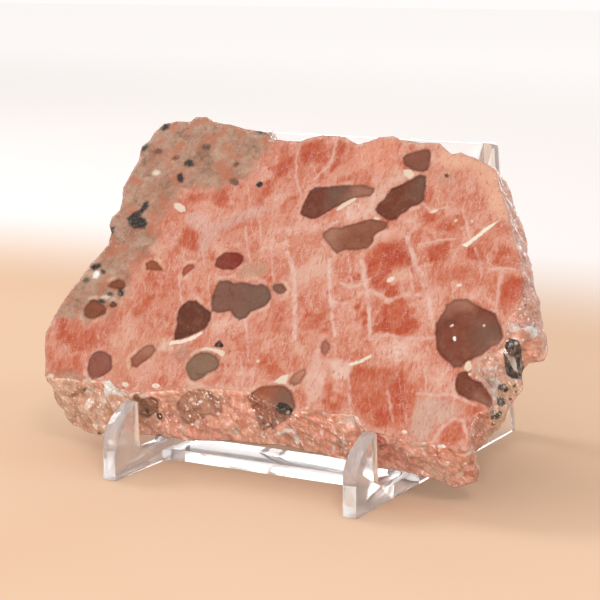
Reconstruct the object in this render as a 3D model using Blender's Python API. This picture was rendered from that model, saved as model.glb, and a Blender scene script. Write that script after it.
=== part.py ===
"""A sunstone slice standing on a clear moulded display easel.

The easel is one moulded piece: two side frames with a hooked front lip, a low bar that joins
them under the stone and a plate that joins them at the top. The slice is one stone: a slab
with two flat sawn faces and a broken, lumpy rim all round. It leans back on the easel.
"""

import math

import bmesh
import bpy
from mathutils import Matrix, Vector, noise

MM = 0.001

# Easel, in millimetres. Y runs from the front feet to the rear feet, Z up from the table.
EASEL_WIDTH = 50.0
FRAME_THICKNESS = 2.5
BASE_LENGTH = 68.0
EASEL_HEIGHT = 57.0
LEDGE_HEIGHT = 3.5
LIP_STRAIGHT = 6.7
LIP_BEND = 10.2
LIP_TIP_Y = 7.3
LIP_TIP_Z = 12.8
LIP_FOOT_Y = 7.9
GROOVE_RADIUS = 1.5
REST_LEAN = math.radians(35.5)
REST_MEMBER = 4.0
APEX_WIDTH = 2.1
WINDOW_RADIUS = 2.0
BAR_FRONT_Y = 17.0
BAR_REAR_Y = 26.2
BAR_HEIGHT = 2.0
BAR_FILLET = 2.0
TOP_CORNER = 1.2
TOP_PLATE_HEIGHT = 12.0
TOP_PLATE_THICKNESS = 2.0
TOP_PLATE_INSET = 0.15
OVERLAP = 0.6

# Slice, in millimetres. Its own axes are u across, v up the face and w out of the sawn face.
SLAB_THICKNESS = 12.0
SLAB_HEEL_Y = 16.3
SLAB_HEEL_Z = 3.8
TOUCH_GAP = 0.3
RIM_SPACING = 1.3
RIM_LEVELS = 9

# The whole part is centred over its own box: these are the box's middle in easel axes.
CENTRE_X = -1.194
CENTRE_Y = 34.0

# Corners of the rim, clockwise from the top left: u, v on the front face, then u, v on the back.
RIM = [
    (-39.4, 57.2, -38.6, 56.6),
    (-37.9, 59.3, -37.2, 58.6),
    (-35.2, 60.1, -34.8, 59.8),
    (-32.4, 60.0, -32.2, 60.4),
    (-31.4, 61.1, -31.0, 61.2),
    (-29.0, 61.3, -28.8, 60.8),
    (-27.0, 60.4, -26.6, 60.2),
    (-23.0, 59.8, -22.6, 60.0),
    (-19.5, 58.9, -19.6, 58.6),
    (-16.5, 58.7, -16.8, 58.0),
    (-14.4, 58.4, -14.2, 57.2),
    (-13.2, 57.2, -12.6, 56.6),
    (-10.0, 57.0, -10.0, 56.8),
    (-7.0, 57.1, -7.0, 57.4),
    (-5.0, 58.0, -5.0, 58.2),
    (-3.0, 58.6, -2.6, 58.0),
    (0.5, 58.5, 0.8, 57.4),
    (3.0, 57.8, 3.2, 57.0),
    (4.8, 57.2, 5.0, 57.0),
    (6.6, 57.8, 6.8, 58.0),
    (8.4, 59.0, 8.4, 58.8),
    (11.3, 59.2, 11.4, 58.4),
    (12.8, 58.3, 13.0, 57.6),
    (16.0, 58.1, 16.4, 58.0),
    (20.8, 58.0, 20.6, 58.0),
    (22.2, 57.0, 22.4, 57.4),
    (23.6, 56.0, 24.0, 56.6),
    (25.2, 56.4, 25.6, 57.0),
    (28.2, 55.4, 28.2, 57.4),
    (31.0, 54.4, 30.2, 56.0),
    (32.6, 53.6, 31.6, 53.8),
    (33.8, 51.2, 33.3, 51.3),
    (35.5, 48.3, 35.0, 48.8),
    (37.2, 45.1, 36.7, 45.7),
    (38.8, 42.0, 38.0, 42.2),
    (40.2, 39.4, 39.2, 39.9),
    (41.5, 36.9, 40.4, 36.9),
    (42.4, 34.4, 41.7, 34.4),
    (43.4, 31.4, 43.1, 31.4),
    (44.2, 29.4, 44.1, 29.4),
    (43.7, 27.4, 45.0, 27.6),
    (42.6, 25.9, 45.9, 25.6),
    (42.8, 23.8, 45.3, 23.6),
    (43.0, 21.8, 42.8, 22.8),
    (41.8, 19.7, 42.0, 21.2),
    (40.0, 18.0, 42.5, 19.4),
    (39.3, 16.6, 43.0, 18.0),
    (39.9, 15.0, 42.1, 15.8),
    (41.8, 13.2, 41.4, 14.2),
    (43.6, 10.9, 40.9, 12.2),
    (43.2, 8.8, 40.4, 10.2),
    (41.2, 8.4, 39.6, 8.6),
    (40.8, 6.0, 38.7, 6.7),
    (41.2, 3.6, 37.6, 5.4),
    (41.9, 1.9, 38.3, 3.8),
    (41.2, 1.2, 39.1, 1.9),
    (40.0, 1.2, 39.3, 0.6),
    (38.2, 1.3, 37.4, -0.5),
    (36.4, 1.4, 35.4, -1.5),
    (34.0, 1.7, 33.6, -0.6),
    (31.0, 1.8, 30.6, -0.2),
    (28.0, 1.9, 27.4, 0.1),
    (25.0, 2.2, 24.0, 0.3),
    (22.4, 2.9, 21.6, 0.5),
    (19.6, 4.9, 19.0, 0.3),
    (17.0, 4.6, 16.0, 0.7),
    (14.0, 4.9, 12.4, 0.9),
    (11.0, 4.7, 9.6, 1.3),
    (8.0, 4.6, 7.0, 1.2),
    (4.0, 4.9, 3.0, 1.9),
    (1.0, 6.0, 0.4, 2.0),
    (-1.2, 7.0, -2.6, 1.6),
    (-4.4, 6.8, -6.4, 1.7),
    (-8.0, 6.5, -10.4, 1.3),
    (-12.0, 6.2, -14.2, 0.7),
    (-15.4, 5.7, -17.4, 0.5),
    (-19.0, 4.9, -20.6, 0.7),
    (-22.0, 4.3, -23.8, 0.3),
    (-25.0, 4.0, -26.8, 0.5),
    (-28.0, 4.3, -30.6, -0.5),
    (-31.4, 5.1, -33.8, -1.0),
    (-35.4, 5.2, -37.2, -0.9),
    (-39.0, 5.1, -40.2, -0.5),
    (-42.0, 4.9, -43.2, 0.1),
    (-44.3, 5.0, -45.4, 1.5),
    (-45.2, 7.6, -46.3, 5.0),
    (-46.8, 10.6, -46.8, 9.4),
    (-47.6, 13.4, -47.2, 13.0),
    (-47.1, 16.0, -46.8, 16.2),
    (-46.4, 19.4, -46.2, 19.2),
    (-45.6, 22.6, -45.6, 22.4),
    (-44.0, 25.6, -44.4, 25.4),
    (-43.2, 28.4, -43.4, 28.2),
    (-41.8, 30.4, -42.0, 30.6),
    (-40.6, 32.6, -41.0, 32.8),
    (-41.0, 35.0, -40.8, 35.2),
    (-42.1, 36.6, -41.2, 36.8),
    (-42.2, 38.4, -41.4, 38.4),
    (-41.0, 40.0, -40.6, 40.2),
    (-41.4, 42.6, -41.0, 42.6),
    (-42.1, 44.8, -41.4, 44.8),
    (-41.7, 47.4, -41.0, 47.4),
    (-41.3, 50.0, -40.6, 50.0),
    (-40.8, 52.2, -40.0, 52.2),
    (-41.0, 54.0, -40.2, 53.8),
    (-39.9, 55.4, -39.2, 55.2),
]


def easel_point(x, y, z):
    """A point given in easel millimetres, in the part's own metres."""
    return Vector((x - CENTRE_X, y - CENTRE_Y, z)) * MM


def slab_matrix():
    """Turns slab axes u, v, w in millimetres into the part's own metres."""
    lean = REST_LEAN
    across = Vector((1.0, 0.0, 0.0))
    up_face = Vector((0.0, math.sin(lean), math.cos(lean)))
    out_of_face = Vector((0.0, -math.cos(lean), math.sin(lean)))
    turn = Matrix((across, up_face, out_of_face)).transposed()
    heel = easel_point(0.0, SLAB_HEEL_Y, SLAB_HEEL_Z)
    return Matrix.Translation(heel) @ (turn * MM).to_4x4()


def rest_front_y(z):
    """Y of the leaning rest's front edge at a height: the slab's back plane plus the touching gap."""
    along = (z - SLAB_HEEL_Z) * math.tan(REST_LEAN)
    return SLAB_HEEL_Y + along + TOUCH_GAP / math.cos(REST_LEAN)


def rear_edge_y(z):
    """Y of the frame's rear edge at a height, straight from the apex to the rear foot."""
    apex_rear = rest_front_y(EASEL_HEIGHT) + APEX_WIDTH
    return BASE_LENGTH + (apex_rear - BASE_LENGTH) * z / EASEL_HEIGHT


def material(name, colour, roughness, transmission=0.0, ior=1.5):
    made = bpy.data.materials.new(name)
    made.use_nodes = True
    shader = made.node_tree.nodes["Principled BSDF"]
    shader.inputs["Base Color"].default_value = (*colour, 1.0)
    shader.inputs["Roughness"].default_value = roughness
    shader.inputs["Metallic"].default_value = 0.0
    shader.inputs["Transmission Weight"].default_value = transmission
    shader.inputs["IOR"].default_value = ior
    made.diffuse_color = (*colour, 1.0)
    return made


def add_object(name, bm, finish=None):
    mesh = bpy.data.meshes.new(name)
    bmesh.ops.recalc_face_normals(bm, faces=bm.faces[:])
    bm.to_mesh(mesh)
    bm.free()
    made = bpy.data.objects.new(name, mesh)
    bpy.context.scene.collection.objects.link(made)
    if finish:
        mesh.materials.append(finish)
    return made


def rounded_corner(before, corner, after, radius, steps=5):
    """Points of an arc of this radius that replaces a corner of an outline."""
    corner = Vector(corner)
    to_before = (Vector(before) - corner).normalized()
    to_after = (Vector(after) - corner).normalized()
    half = to_before.angle(to_after) / 2.0
    middle = corner + (to_before + to_after).normalized() * (radius / math.sin(half))
    first = corner + to_before * (radius / math.tan(half)) - middle
    last = corner + to_after * (radius / math.tan(half)) - middle
    points = []
    for i in range(steps + 1):
        t = i / steps
        spoke = first.slerp(last, t) if 0 < i < steps else (first, last)[i > 0]
        points.append(tuple(middle + spoke))
    return points


def lip_curve(steps=8):
    """Front of the hooked lip, from the end of its straight front up and back to the tip."""
    points = []
    for i in range(steps + 1):
        t = i / steps
        y = LIP_TIP_Y * t * t
        z = (1 - t) ** 2 * LIP_STRAIGHT + 2 * t * (1 - t) * LIP_BEND + t * t * LIP_TIP_Z
        points.append((y, z))
    return points


def frame_outline():
    """Side frame's outer outline as y, z: front foot, lip, groove, ledge, rest, apex, rear foot."""
    groove = []
    steps = 5
    centre_y = LIP_FOOT_Y + GROOVE_RADIUS
    centre_z = LEDGE_HEIGHT + GROOVE_RADIUS
    for i in range(steps + 1):
        a = math.radians(180.0 + 90.0 * i / steps)
        y = centre_y + GROOVE_RADIUS * math.cos(a)
        z = centre_z + GROOVE_RADIUS * math.sin(a)
        groove.append((y, z))
    apex_front = (rest_front_y(EASEL_HEIGHT), EASEL_HEIGHT)
    apex_rear = (apex_front[0] + APEX_WIDTH, EASEL_HEIGHT)
    heel = (rest_front_y(LEDGE_HEIGHT), LEDGE_HEIGHT)
    return [(0.0, 0.0)] + lip_curve() + groove + [heel, apex_front, apex_rear, (BASE_LENGTH, 0.0)]


def window_outline():
    """The triangular window in a side frame, with round corners."""
    behind_rest = REST_MEMBER / math.cos(REST_LEAN)
    rear_lean = math.atan2(rear_edge_y(0.0) - rear_edge_y(EASEL_HEIGHT), EASEL_HEIGHT)
    before_rear = REST_MEMBER / math.cos(rear_lean)
    floor = LEDGE_HEIGHT
    front = (rest_front_y(floor) + behind_rest, floor)
    rear = (rear_edge_y(floor) - before_rear, floor)
    rest_slope = math.tan(REST_LEAN)
    rear_slope = -math.tan(rear_lean)
    top_z = floor + (rear[0] - front[0]) / (rest_slope - rear_slope)
    top = (front[0] + (top_z - floor) * rest_slope, top_z)
    corners = [front, rear, top]
    points = []
    for i, corner in enumerate(corners):
        before = corners[i - 1]
        after = corners[(i + 1) % len(corners)]
        points += rounded_corner(before, corner, after, WINDOW_RADIUS)
    return points


def prism(name, outline, placed, depth_vector, finish=None):
    """A flat outline set in space by the function placed, and extruded along a vector."""
    bm = bmesh.new()
    face = bm.faces.new([bm.verts.new(placed(a, b)) for a, b in outline])
    moved = bmesh.ops.extrude_face_region(bm, geom=[face])
    verts = [g for g in moved["geom"] if isinstance(g, bmesh.types.BMVert)]
    bmesh.ops.translate(bm, verts=verts, vec=depth_vector)
    return add_object(name, bm, finish)


def cutter_of(made):
    made.hide_render = True
    made.display_type = "WIRE"
    return made


def boolean(target, other, operation):
    modifier = target.modifiers.new(operation.lower(), "BOOLEAN")
    modifier.operation = operation
    modifier.solver = "EXACT"
    modifier.object = cutter_of(other)


def side_frame(name, x, finish):
    """One side frame with its window cut out, its outer or inner face at x."""
    frame = prism(
        name, frame_outline(), lambda y, z: easel_point(x, y, z), Vector((FRAME_THICKNESS * MM, 0, 0)), finish
    )
    window = prism(
        name + "_window",
        window_outline(),
        lambda y, z: easel_point(x - 1.0, y, z),
        Vector(((FRAME_THICKNESS + 2.0) * MM, 0, 0)),
    )
    boolean(frame, window, "DIFFERENCE")
    return frame


def bar_outline():
    """The low bar seen from above, x and y, with a round fillet into each side frame."""
    inner = EASEL_WIDTH / 2 - FRAME_THICKNESS
    steps = 6
    points = [(-inner - OVERLAP, BAR_REAR_Y), (-inner - OVERLAP, BAR_FRONT_Y - BAR_FILLET)]
    for side in (-1, 1):
        arc = []
        for i in range(steps + 1):
            a = math.radians(90.0 * i / steps)
            x = inner - BAR_FILLET + BAR_FILLET * math.cos(a)
            y = BAR_FRONT_Y - BAR_FILLET + BAR_FILLET * math.sin(a)
            arc.append((side * x, y))
        points += arc if side < 0 else arc[::-1]
    points += [(inner + OVERLAP, BAR_FRONT_Y - BAR_FILLET), (inner + OVERLAP, BAR_REAR_Y)]
    return points


def low_bar():
    return prism("low_bar", bar_outline(), lambda x, y: easel_point(x, y, 0.0), Vector((0, 0, BAR_HEIGHT * MM)))


def top_plate():
    """The plate between the two frames' upper ends, just behind the front of the leaning rest."""
    half = EASEL_WIDTH / 2 - FRAME_THICKNESS + OVERLAP
    top_z = EASEL_HEIGHT - TOP_PLATE_INSET
    bottom_z = EASEL_HEIGHT - TOP_PLATE_HEIGHT * math.cos(REST_LEAN)
    depth = TOP_PLATE_THICKNESS / math.cos(REST_LEAN)
    front_top = rest_front_y(top_z) + TOP_PLATE_INSET
    front_bottom = rest_front_y(bottom_z) + TOP_PLATE_INSET
    rear_top = rest_front_y(EASEL_HEIGHT) + APEX_WIDTH - TOP_PLATE_INSET
    outline = [(front_bottom, bottom_z), (front_top, top_z), (rear_top, top_z), (front_bottom + depth, bottom_z)]
    return prism("top_plate", outline, lambda y, z: easel_point(-half, y, z), Vector((2 * half * MM, 0, 0)))


def top_corner_cutter(side):
    """Rounds one outer top corner of the easel: the square corner less a quarter circle."""
    steps = 6
    outer = EASEL_WIDTH / 2
    middle = (outer - TOP_CORNER, EASEL_HEIGHT - TOP_CORNER)
    outline = [(outer + 1.0, middle[1] - 0.1), (outer + 1.0, EASEL_HEIGHT + 1.0)]
    outline += [(middle[0] - 0.1, EASEL_HEIGHT + 1.0), (middle[0] - 0.1, EASEL_HEIGHT + 0.02)]
    for i in range(1, steps):
        a = math.radians(90.0 - 90.0 * i / steps)
        outline.append((middle[0] + TOP_CORNER * math.cos(a), middle[1] + TOP_CORNER * math.sin(a)))
    outline.append((outer + 0.02, middle[1] - 0.1))
    start_y = rest_front_y(EASEL_HEIGHT) - 4.0
    return prism(
        "top_corner", outline, lambda x, z: easel_point(side * x, start_y, z), Vector((0, 12.0 * MM, 0))
    )


def build_easel(finish):
    left = side_frame("display_easel", -EASEL_WIDTH / 2, finish)
    right = side_frame("right_frame", EASEL_WIDTH / 2 - FRAME_THICKNESS, finish)
    boolean(left, right, "UNION")
    boolean(left, low_bar(), "UNION")
    boolean(left, top_plate(), "UNION")
    boolean(left, top_corner_cutter(-1), "DIFFERENCE")
    boolean(left, top_corner_cutter(1), "DIFFERENCE")
    return left


def resampled_rim():
    """Pairs of front and back rim points at an even spacing along the front outline."""
    count = len(RIM)
    pairs = []
    for i in range(count):
        here = RIM[i]
        after = RIM[(i + 1) % count]
        gap_front = math.hypot(after[0] - here[0], after[1] - here[1])
        gap_back = math.hypot(after[2] - here[2], after[3] - here[3])
        steps = max(1, round(max(gap_front, gap_back) / RIM_SPACING))
        for s in range(steps):
            t = s / steps
            row = [here[k] + (after[k] - here[k]) * t for k in range(4)]
            pairs.append((Vector(row[:2]), Vector(row[2:])))
    return pairs


def rim_relief(point):
    """How far the broken rim stands out at a point of slab space, in millimetres: ledges and lumps."""
    tilted = Matrix.Rotation(math.radians(24.0), 3, "Z") @ point
    ledge = noise.cell(Vector((tilted.x / 4.2, tilted.y / 5.0, tilted.z / 3.4)))
    lump = noise.noise(point / 5.5)
    grain = noise.noise(point / 2.1 + Vector((7.0, 3.0, 1.0)))
    return 0.5 * (ledge - 0.5) + 0.45 * lump + 0.3 * grain


def rim_profile(t):
    """How far the rim bellies out between its two sharp sawn edges, 0 at each face, in millimetres."""
    return 0.35 * math.sin(math.pi * t)


def build_slice(finish):
    """The slab: rings of rim points from the back face to the front face, closed by the two sawn faces."""
    pairs = resampled_rim()
    count = len(pairs)
    bm = bmesh.new()
    rings = []
    for level in range(RIM_LEVELS + 1):
        t = level / RIM_LEVELS
        centre = [back.lerp(front, t) for front, back in pairs]
        ring = []
        for i in range(count):
            run = centre[(i + 1) % count] - centre[i - 1]
            outward = Vector((-run.y, run.x)).normalized()
            here = Vector((centre[i].x, centre[i].y, t * SLAB_THICKNESS))
            edge = min(1.0, 4.0 * t, 4.0 * (1.0 - t))
            push = rim_profile(t) + rim_relief(here) * (0.35 + 0.65 * edge)
            ring.append(bm.verts.new((here.x + outward.x * push, here.y + outward.y * push, here.z)))
        rings.append(ring)
    for low, high in zip(rings, rings[1:]):
        for i in range(count):
            j = (i + 1) % count
            bm.faces.new((low[i], low[j], high[j], high[i]))
    bm.faces.new(rings[0])
    bm.faces.new(rings[-1])
    bmesh.ops.triangulate(bm, faces=bm.faces[:], quad_method="BEAUTY", ngon_method="BEAUTY")
    bm.transform(slab_matrix())
    return add_object("sunstone_slice", bm, finish)


def main():
    for old in list(bpy.data.objects):
        bpy.data.objects.remove(old)
    stone = material("sunstone", (0.56, 0.20, 0.13), 0.45)
    clear = material("clear_plastic", (0.95, 0.93, 0.93), 0.08, transmission=1.0, ior=1.49)
    build_easel(clear)
    build_slice(stone)


main()
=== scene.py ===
"""A sunstone slice on a clear display easel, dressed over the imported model."""

import math

import bmesh
import bpy
import numpy as np
from mathutils import Matrix, Vector, noise
from mathutils.geometry import delaunay_2d_cdt
from mathutils.kdtree import KDTree


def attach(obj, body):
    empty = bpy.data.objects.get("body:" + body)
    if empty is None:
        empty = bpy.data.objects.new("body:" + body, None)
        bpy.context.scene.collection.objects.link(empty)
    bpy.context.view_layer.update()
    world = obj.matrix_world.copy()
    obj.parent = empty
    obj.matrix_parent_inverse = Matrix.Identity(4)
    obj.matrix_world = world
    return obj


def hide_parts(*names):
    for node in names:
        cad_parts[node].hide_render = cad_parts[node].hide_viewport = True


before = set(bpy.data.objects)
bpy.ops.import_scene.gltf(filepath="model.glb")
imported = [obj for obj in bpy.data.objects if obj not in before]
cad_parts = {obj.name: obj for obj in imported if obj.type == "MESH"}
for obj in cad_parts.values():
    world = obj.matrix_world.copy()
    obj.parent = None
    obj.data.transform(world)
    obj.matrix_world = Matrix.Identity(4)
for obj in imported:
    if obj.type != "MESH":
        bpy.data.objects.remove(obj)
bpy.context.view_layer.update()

MM = 0.001
MERGE = 1e-6

# The easel's own axes, in millimetres, against the row frame: x is off by this much, and so is y.
ROW_X = 1.194
ROW_Y = -34.0

# The slice leans on the easel. Its axes: u across, v up the face, w out of the sawn face.
LEAN = math.radians(35.5)
HEEL = (0.0, 16.3, 3.8)
THICKNESS = 12.0

# The photo's camera, in the easel's axes, in millimetres.
EYE = (159.44, -263.43, 89.98)
AIM = (-1.994, 30.0, 29.35)
LENS = 112.5
SENSOR = 36.0

# The stone's mesh, in millimetres.
FACE_SPACING = 0.36
BACK_SPACING = 0.8
ROW_HEIGHT = 0.866
EDGE_CLEARANCE = 0.6
SNAP = 0.02
SHARP_STONE = math.radians(38.0)

# The sideways direction in u and v from which the photo's camera sees the rim, and its length.
VIEW_U = 0.474
VIEW_V = -0.356
VIEW_LENGTH = 0.59
VIEW_SOFTNESS = 0.4

# Relief of the broken rim in millimetres: cell size and height of pits and grains, then of lumps.
PIT_SIZE, PIT_HEIGHT = 2.3, 0.5
GRAIN_SIZE, GRAIN_HEIGHT = 0.95, 0.34
LUMP_SIZE, LUMP_HEIGHT = 3.4, 0.35
KEPT_AT_EDGE = 0.3
EDGE_REACH = 0.9

# The back face shows the front's markings mirrored, moved sideways by this much.
BACK_SHIFT = -1.5

# For the noise that lets outlines wander, which Blender otherwise starts differently in every run.
SEED = 7

# Distances stored on the mesh stop here, and outlines further off than this count as far.
FAR = 4.0
BEYOND = 9.0

# Directions of the feldspar's cleavage, in degrees.
CLEAVAGE = -25.0
FINE_CLEAVAGE = -27.0
CROSS_CLEAVAGE = -108.0
CROSS_FLECKS = -112.0

# The easel's rounded edges and its clear plastic.
EDGE_RADIUS = 0.22
SHARP_EASEL = math.radians(35.0)
SHADE_EASEL = math.radians(30.0)

# How the soft room shows a base colour: a pale sheen is added, and the rest is brightened.
SHEEN = (0.06, 0.046, 0.045)
BRIGHTNESS = (1.5, 1.36, 1.32)
FLOOR_BRIGHTNESS = 1.36

# The room and its lights in metres and watts: name, place, size, power, lights matt surfaces too.
ROOM = (1.0, 0.975, 0.965, 1.0)
LIGHT_TARGET = (0.0, 0.0, 0.03)
LIGHTS = [
    ("key_light", (-0.65, 0.05, 0.6), (0.35, 0.35), 2.5, True),
    ("front_light", (0.15, -0.7, 0.12), (0.5, 0.2), 3.4, True),
    ("spark_light", (0.4, -0.5, 0.55), (0.12, 0.12), 1.2, True),
    ("back_light", (-0.45, 0.85, 0.26), (1.0, 0.35), 3.0, False),
]
FLOOR_SIZE = 3.0
FLOOR_DROP = 0.00005
BOUNCES = 16
GLOSSY_BOUNCES = 12


def row_point(x, y, z):
    """A place in the easel's own millimetres, in the row frame."""
    return Vector((x + ROW_X, y + ROW_Y, z)) * MM


def slice_matrix():
    """Turns slice millimetres u, v, w into the row frame."""
    across = Vector((1.0, 0.0, 0.0))
    up_face = Vector((0.0, math.sin(LEAN), math.cos(LEAN)))
    out = Vector((0.0, -math.cos(LEAN), math.sin(LEAN)))
    turn = Matrix((across, up_face, out)).transposed()
    return Matrix.Translation(row_point(*HEEL)) @ (turn * MM).to_4x4()


SLICE = slice_matrix()
EYE_IN_SLICE = SLICE.inverted() @ row_point(*EYE)


def linear(c):
    c = c / 255.0
    return c / 12.92 if c <= 0.04045 else ((c + 0.055) / 1.055) ** 2.4


def seen(r, g, b):
    """Albedo that shows as this sRGB colour in the scene's light."""
    channels = zip((r, g, b), SHEEN, BRIGHTNESS)
    albedo = [min(1.0, max(0.002, (linear(c) - sheen) / brightness)) for c, sheen, brightness in channels]
    return (*albedo, 1.0)


def flat(r, g, b):
    """The base colour that looks like this sRGB colour on the floor."""
    return tuple(linear(c) / FLOOR_BRIGHTNESS for c in (r, g, b)) + (1.0,)


# The tables below are the markings of the sawn face, in slice millimetres. An outline
# is a row u, v, u, v, and so on. A row of 4 or 5 numbers is a small oval: u, v, half length, half
# width and maybe a turn in degrees. Colours are sRGB as they look in soft light.

BLACK = (34, 30, 29)
DARK = (66, 57, 52)
# The white and pink colours below are for painted glints and highlights; cream is for pale seams and some
# painted glints.
WHITE_GLINT = (246, 236, 228)
CREAM = (228, 202, 180)
PINK_GLINT = (240, 206, 190)

# Smoky and red-brown grains with a clear edge: colour, then its outlines. The (136, 82, 66) outline at u -24
# to -18 on the lower edge is no grain but a painted shadow of the easel's left lip.
GRAINS = [
    ((124, 74, 63), (-2.6,43, -2.4,45, -2,46.8, -1.2,47.6, 1.8,48, 4,48.4, 7.6,48.8, 10.6,48.4, 10.8,47.4,
    10.4,46.5, 8.4,46.1, 6.6,45.6, 5,44.4, 3.2,43, 1.8,41.8, 0.6,41.1, -0.6,41.2, -2.4,41.8)), ((140, 89, 76),
    (14.3,54.6, 15,55.6, 16.6,56.2, 18.4,56.8, 19.2,56.8, 19.7,55.6, 20,54, 20,52.4, 19,51.9, 17.4,52.2,
    16,52.7, 15,53.3)), ((124, 75, 63), (14,48.4, 16,49.6, 17.4,50.6, 18.6,51.6, 20,51.3, 20.5,49.4,
    20.7,47.6, 21,46.4, 20.3,45.6, 19,45, 18.2,44, 17.2,43.2, 16.7,42.3, 15.2,41.9, 13.8,42.6, 12.8,43.2,
    12,44, 12.4,45.2, 13.2,46.2, 13.6,47.4)), ((148, 94, 76), (3.2,38.6, 4.4,39.8, 6.6,40, 8,40.6, 10,41.4,
    11.4,42, 13,42.1, 15.2,41.7, 15.5,40.6, 14.2,39.6, 13.4,38.8, 13.6,37.4, 13,36.2, 10.6,35.6, 8.4,35.4,
    7.2,34.6, 6,35.4, 4.8,36.6, 3.4,37.6)), ((116, 72, 58), (-20.9,20.8, -20.4,22, -19.4,22.9, -18,23,
    -16.8,22.4, -15.4,21.7, -14,21, -13.6,19.6, -13.8,18, -15,17, -16.6,16, -18.2,15.2, -19.6,14.8,
    -20.1,15.8, -20.1,17.6, -20.7,19.2)), ((136, 94, 82), (-14.4,27.4, -12.6,27.6, -11,27.1, -9.6,27.6,
    -8,27.3, -6.6,27.2, -5.6,27.6, -4.4,27.1, -3.2,26, -2.8,24.8, -3.4,23.4, -4.6,22.6, -6,21.8, -6.6,20.6,
    -7.8,20, -9.2,20.6, -10.2,21.6, -11.6,21.2, -12.8,21, -14,21.2, -14.6,22.8, -15,24.6, -14.8,26.4)), ((146,
    100, 84), (-3.6,27.2, -2.6,27.9, -1.4,27.9, -0.4,26.9, -0.6,26, -1.8,25.8, -2.8,26.2)), ((146, 110, 92),
    (-15.6,10.6, -14.8,12.2, -13.4,13.2, -12,13.3, -10.4,12.9, -9.2,12.2, -8.7,11, -9.2,10, -10.6,9.2,
    -11.4,8.2, -12.6,7.4, -13.6,7.6, -14.6,8.6, -15.4,9.6)), ((150, 92, 80), (-36.1,9.2, -35.6,10.6,
    -34.4,11.2, -33,11, -31.6,10.4, -30.9,9.2, -30.4,8, -31.2,6.8, -32.4,5.8, -33.8,5.3, -35,6, -35.8,7.4)),
    ((142, 86, 68), (-41,19.2, -40.4,20.8, -39.2,21.2, -38,20.6, -37,20.4, -36,19.4, -35.9,18.4, -37,17.9,
    -37.8,17.2, -39,17.1, -40.6,17.6)), ((140, 84, 66), (-38,24, -37,25.2, -35.6,25.9, -34.2,25.4, -33.7,24.2,
    -34.6,23.6, -36,23.6)), ((122, 76, 62), (-36,20.2, -35.4,21.2, -34.2,20.8, -34,20.1, -35,19.8)), ((160,
    98, 78), (-27.4,10.2, -26.4,11.8, -25,13.4, -23.6,13.6, -22.6,12.6, -23.2,11, -24.4,9.8, -25.4,8.6,
    -26.6,8.8)), ((140, 70, 56), (-16.6,31.6, -15.4,33, -14,33.3, -12.4,33.2, -11.2,32.7, -10.8,31.8,
    -11.4,30.5, -12.4,29.7, -14.6,29.6, -16.4,30)), ((158, 92, 70), (-31.2,29.4, -30.4,30.2, -29.4,30.2,
    -28.2,29.4, -26.6,28.2, -28.4,28.1, -30.6,28.1)), ((178, 96, 78), (-22.8,29.2, -22.2,30, -20.8,30.2,
    -20.4,29.4, -21.4,28.4, -22.2,27.4, -22.8,28.2)), ((176, 122, 100), (-15,2.6, -14.4,4.6, -13,5.8,
    -10.8,6.3, -9.2,6, -7.2,5, -5.6,4.2, -5.2,2.6, -6,1.4, -7.6,1.6, -9.2,1, -10.2,-0.3, -12,-0.8,
    -13.4,0.6)), ((164, 96, 76), (-1.7,5.8, -0.4,7.2, 0.8,8.2, 3,8.6, 4.8,8.9, 6.6,8, 7.6,6.8, 8.4,5.2, 8.1,3,
    6.4,1.6, 5,1, 4.2,0.2, 3.2,0, 2,1.6, 0.8,3.2, -0.4,4.6)), ((136, 82, 69), (30.4,25.6, 30.6,26.8, 31.8,28,
    34,28.4, 36.4,27.3, 38,26.7, 39.8,26.2, 40.6,25, 41.6,23.6, 42.4,22, 42,20.6, 40.6,20, 39.6,18.4, 38,17.4,
    37,16.8, 36.5,15.8, 35.2,15.5, 33.8,16.4, 32.4,17.2, 31,18.5, 30.6,20, 30,21.5, 29.7,23, 30,24.4)), ((130,
    79, 66), (36,14.6, 37,15.2, 37.8,15.2, 38.2,14.4, 39,14, 40.6,13.6, 42,12.4, 43.2,11, 43.8,9.6, 43.9,8.9,
    42.6,9.4, 41,10, 39,10.3, 37.4,10.8, 36.4,11.6, 36,13)), ((178, 114, 98), (9.6,17.6, 10.2,18.2, 11.4,17.4,
    # The (136, 82, 66) outline starting on the next line is a painted shadow cast by the easel's left lip.
    11.7,16.4, 11,15, 10,15.6, 9.6,16.6)), ((136, 82, 66), (-24,4.2, -22.4,3, -20.4,3.6, -18.6,3.2, -18,1,
    -19.8,-0.6, -21.6,0, -22.8,2.4, -24.4,2.6)), ((192, 128, 106), (5.4,9.4, 6.2,11.4, 8,12.6, 8.6,11.4,
    8,9.6, 6.8,8.8)), ((160, 92, 70), (-36.6,1.9, 0.9,0.6, 20)), ((196, 78, 48), (24.6,2.4, 26.4,1.8,
    27.2,0.4, 26.4,-0.6, 25.4,0.2)),
]
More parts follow.
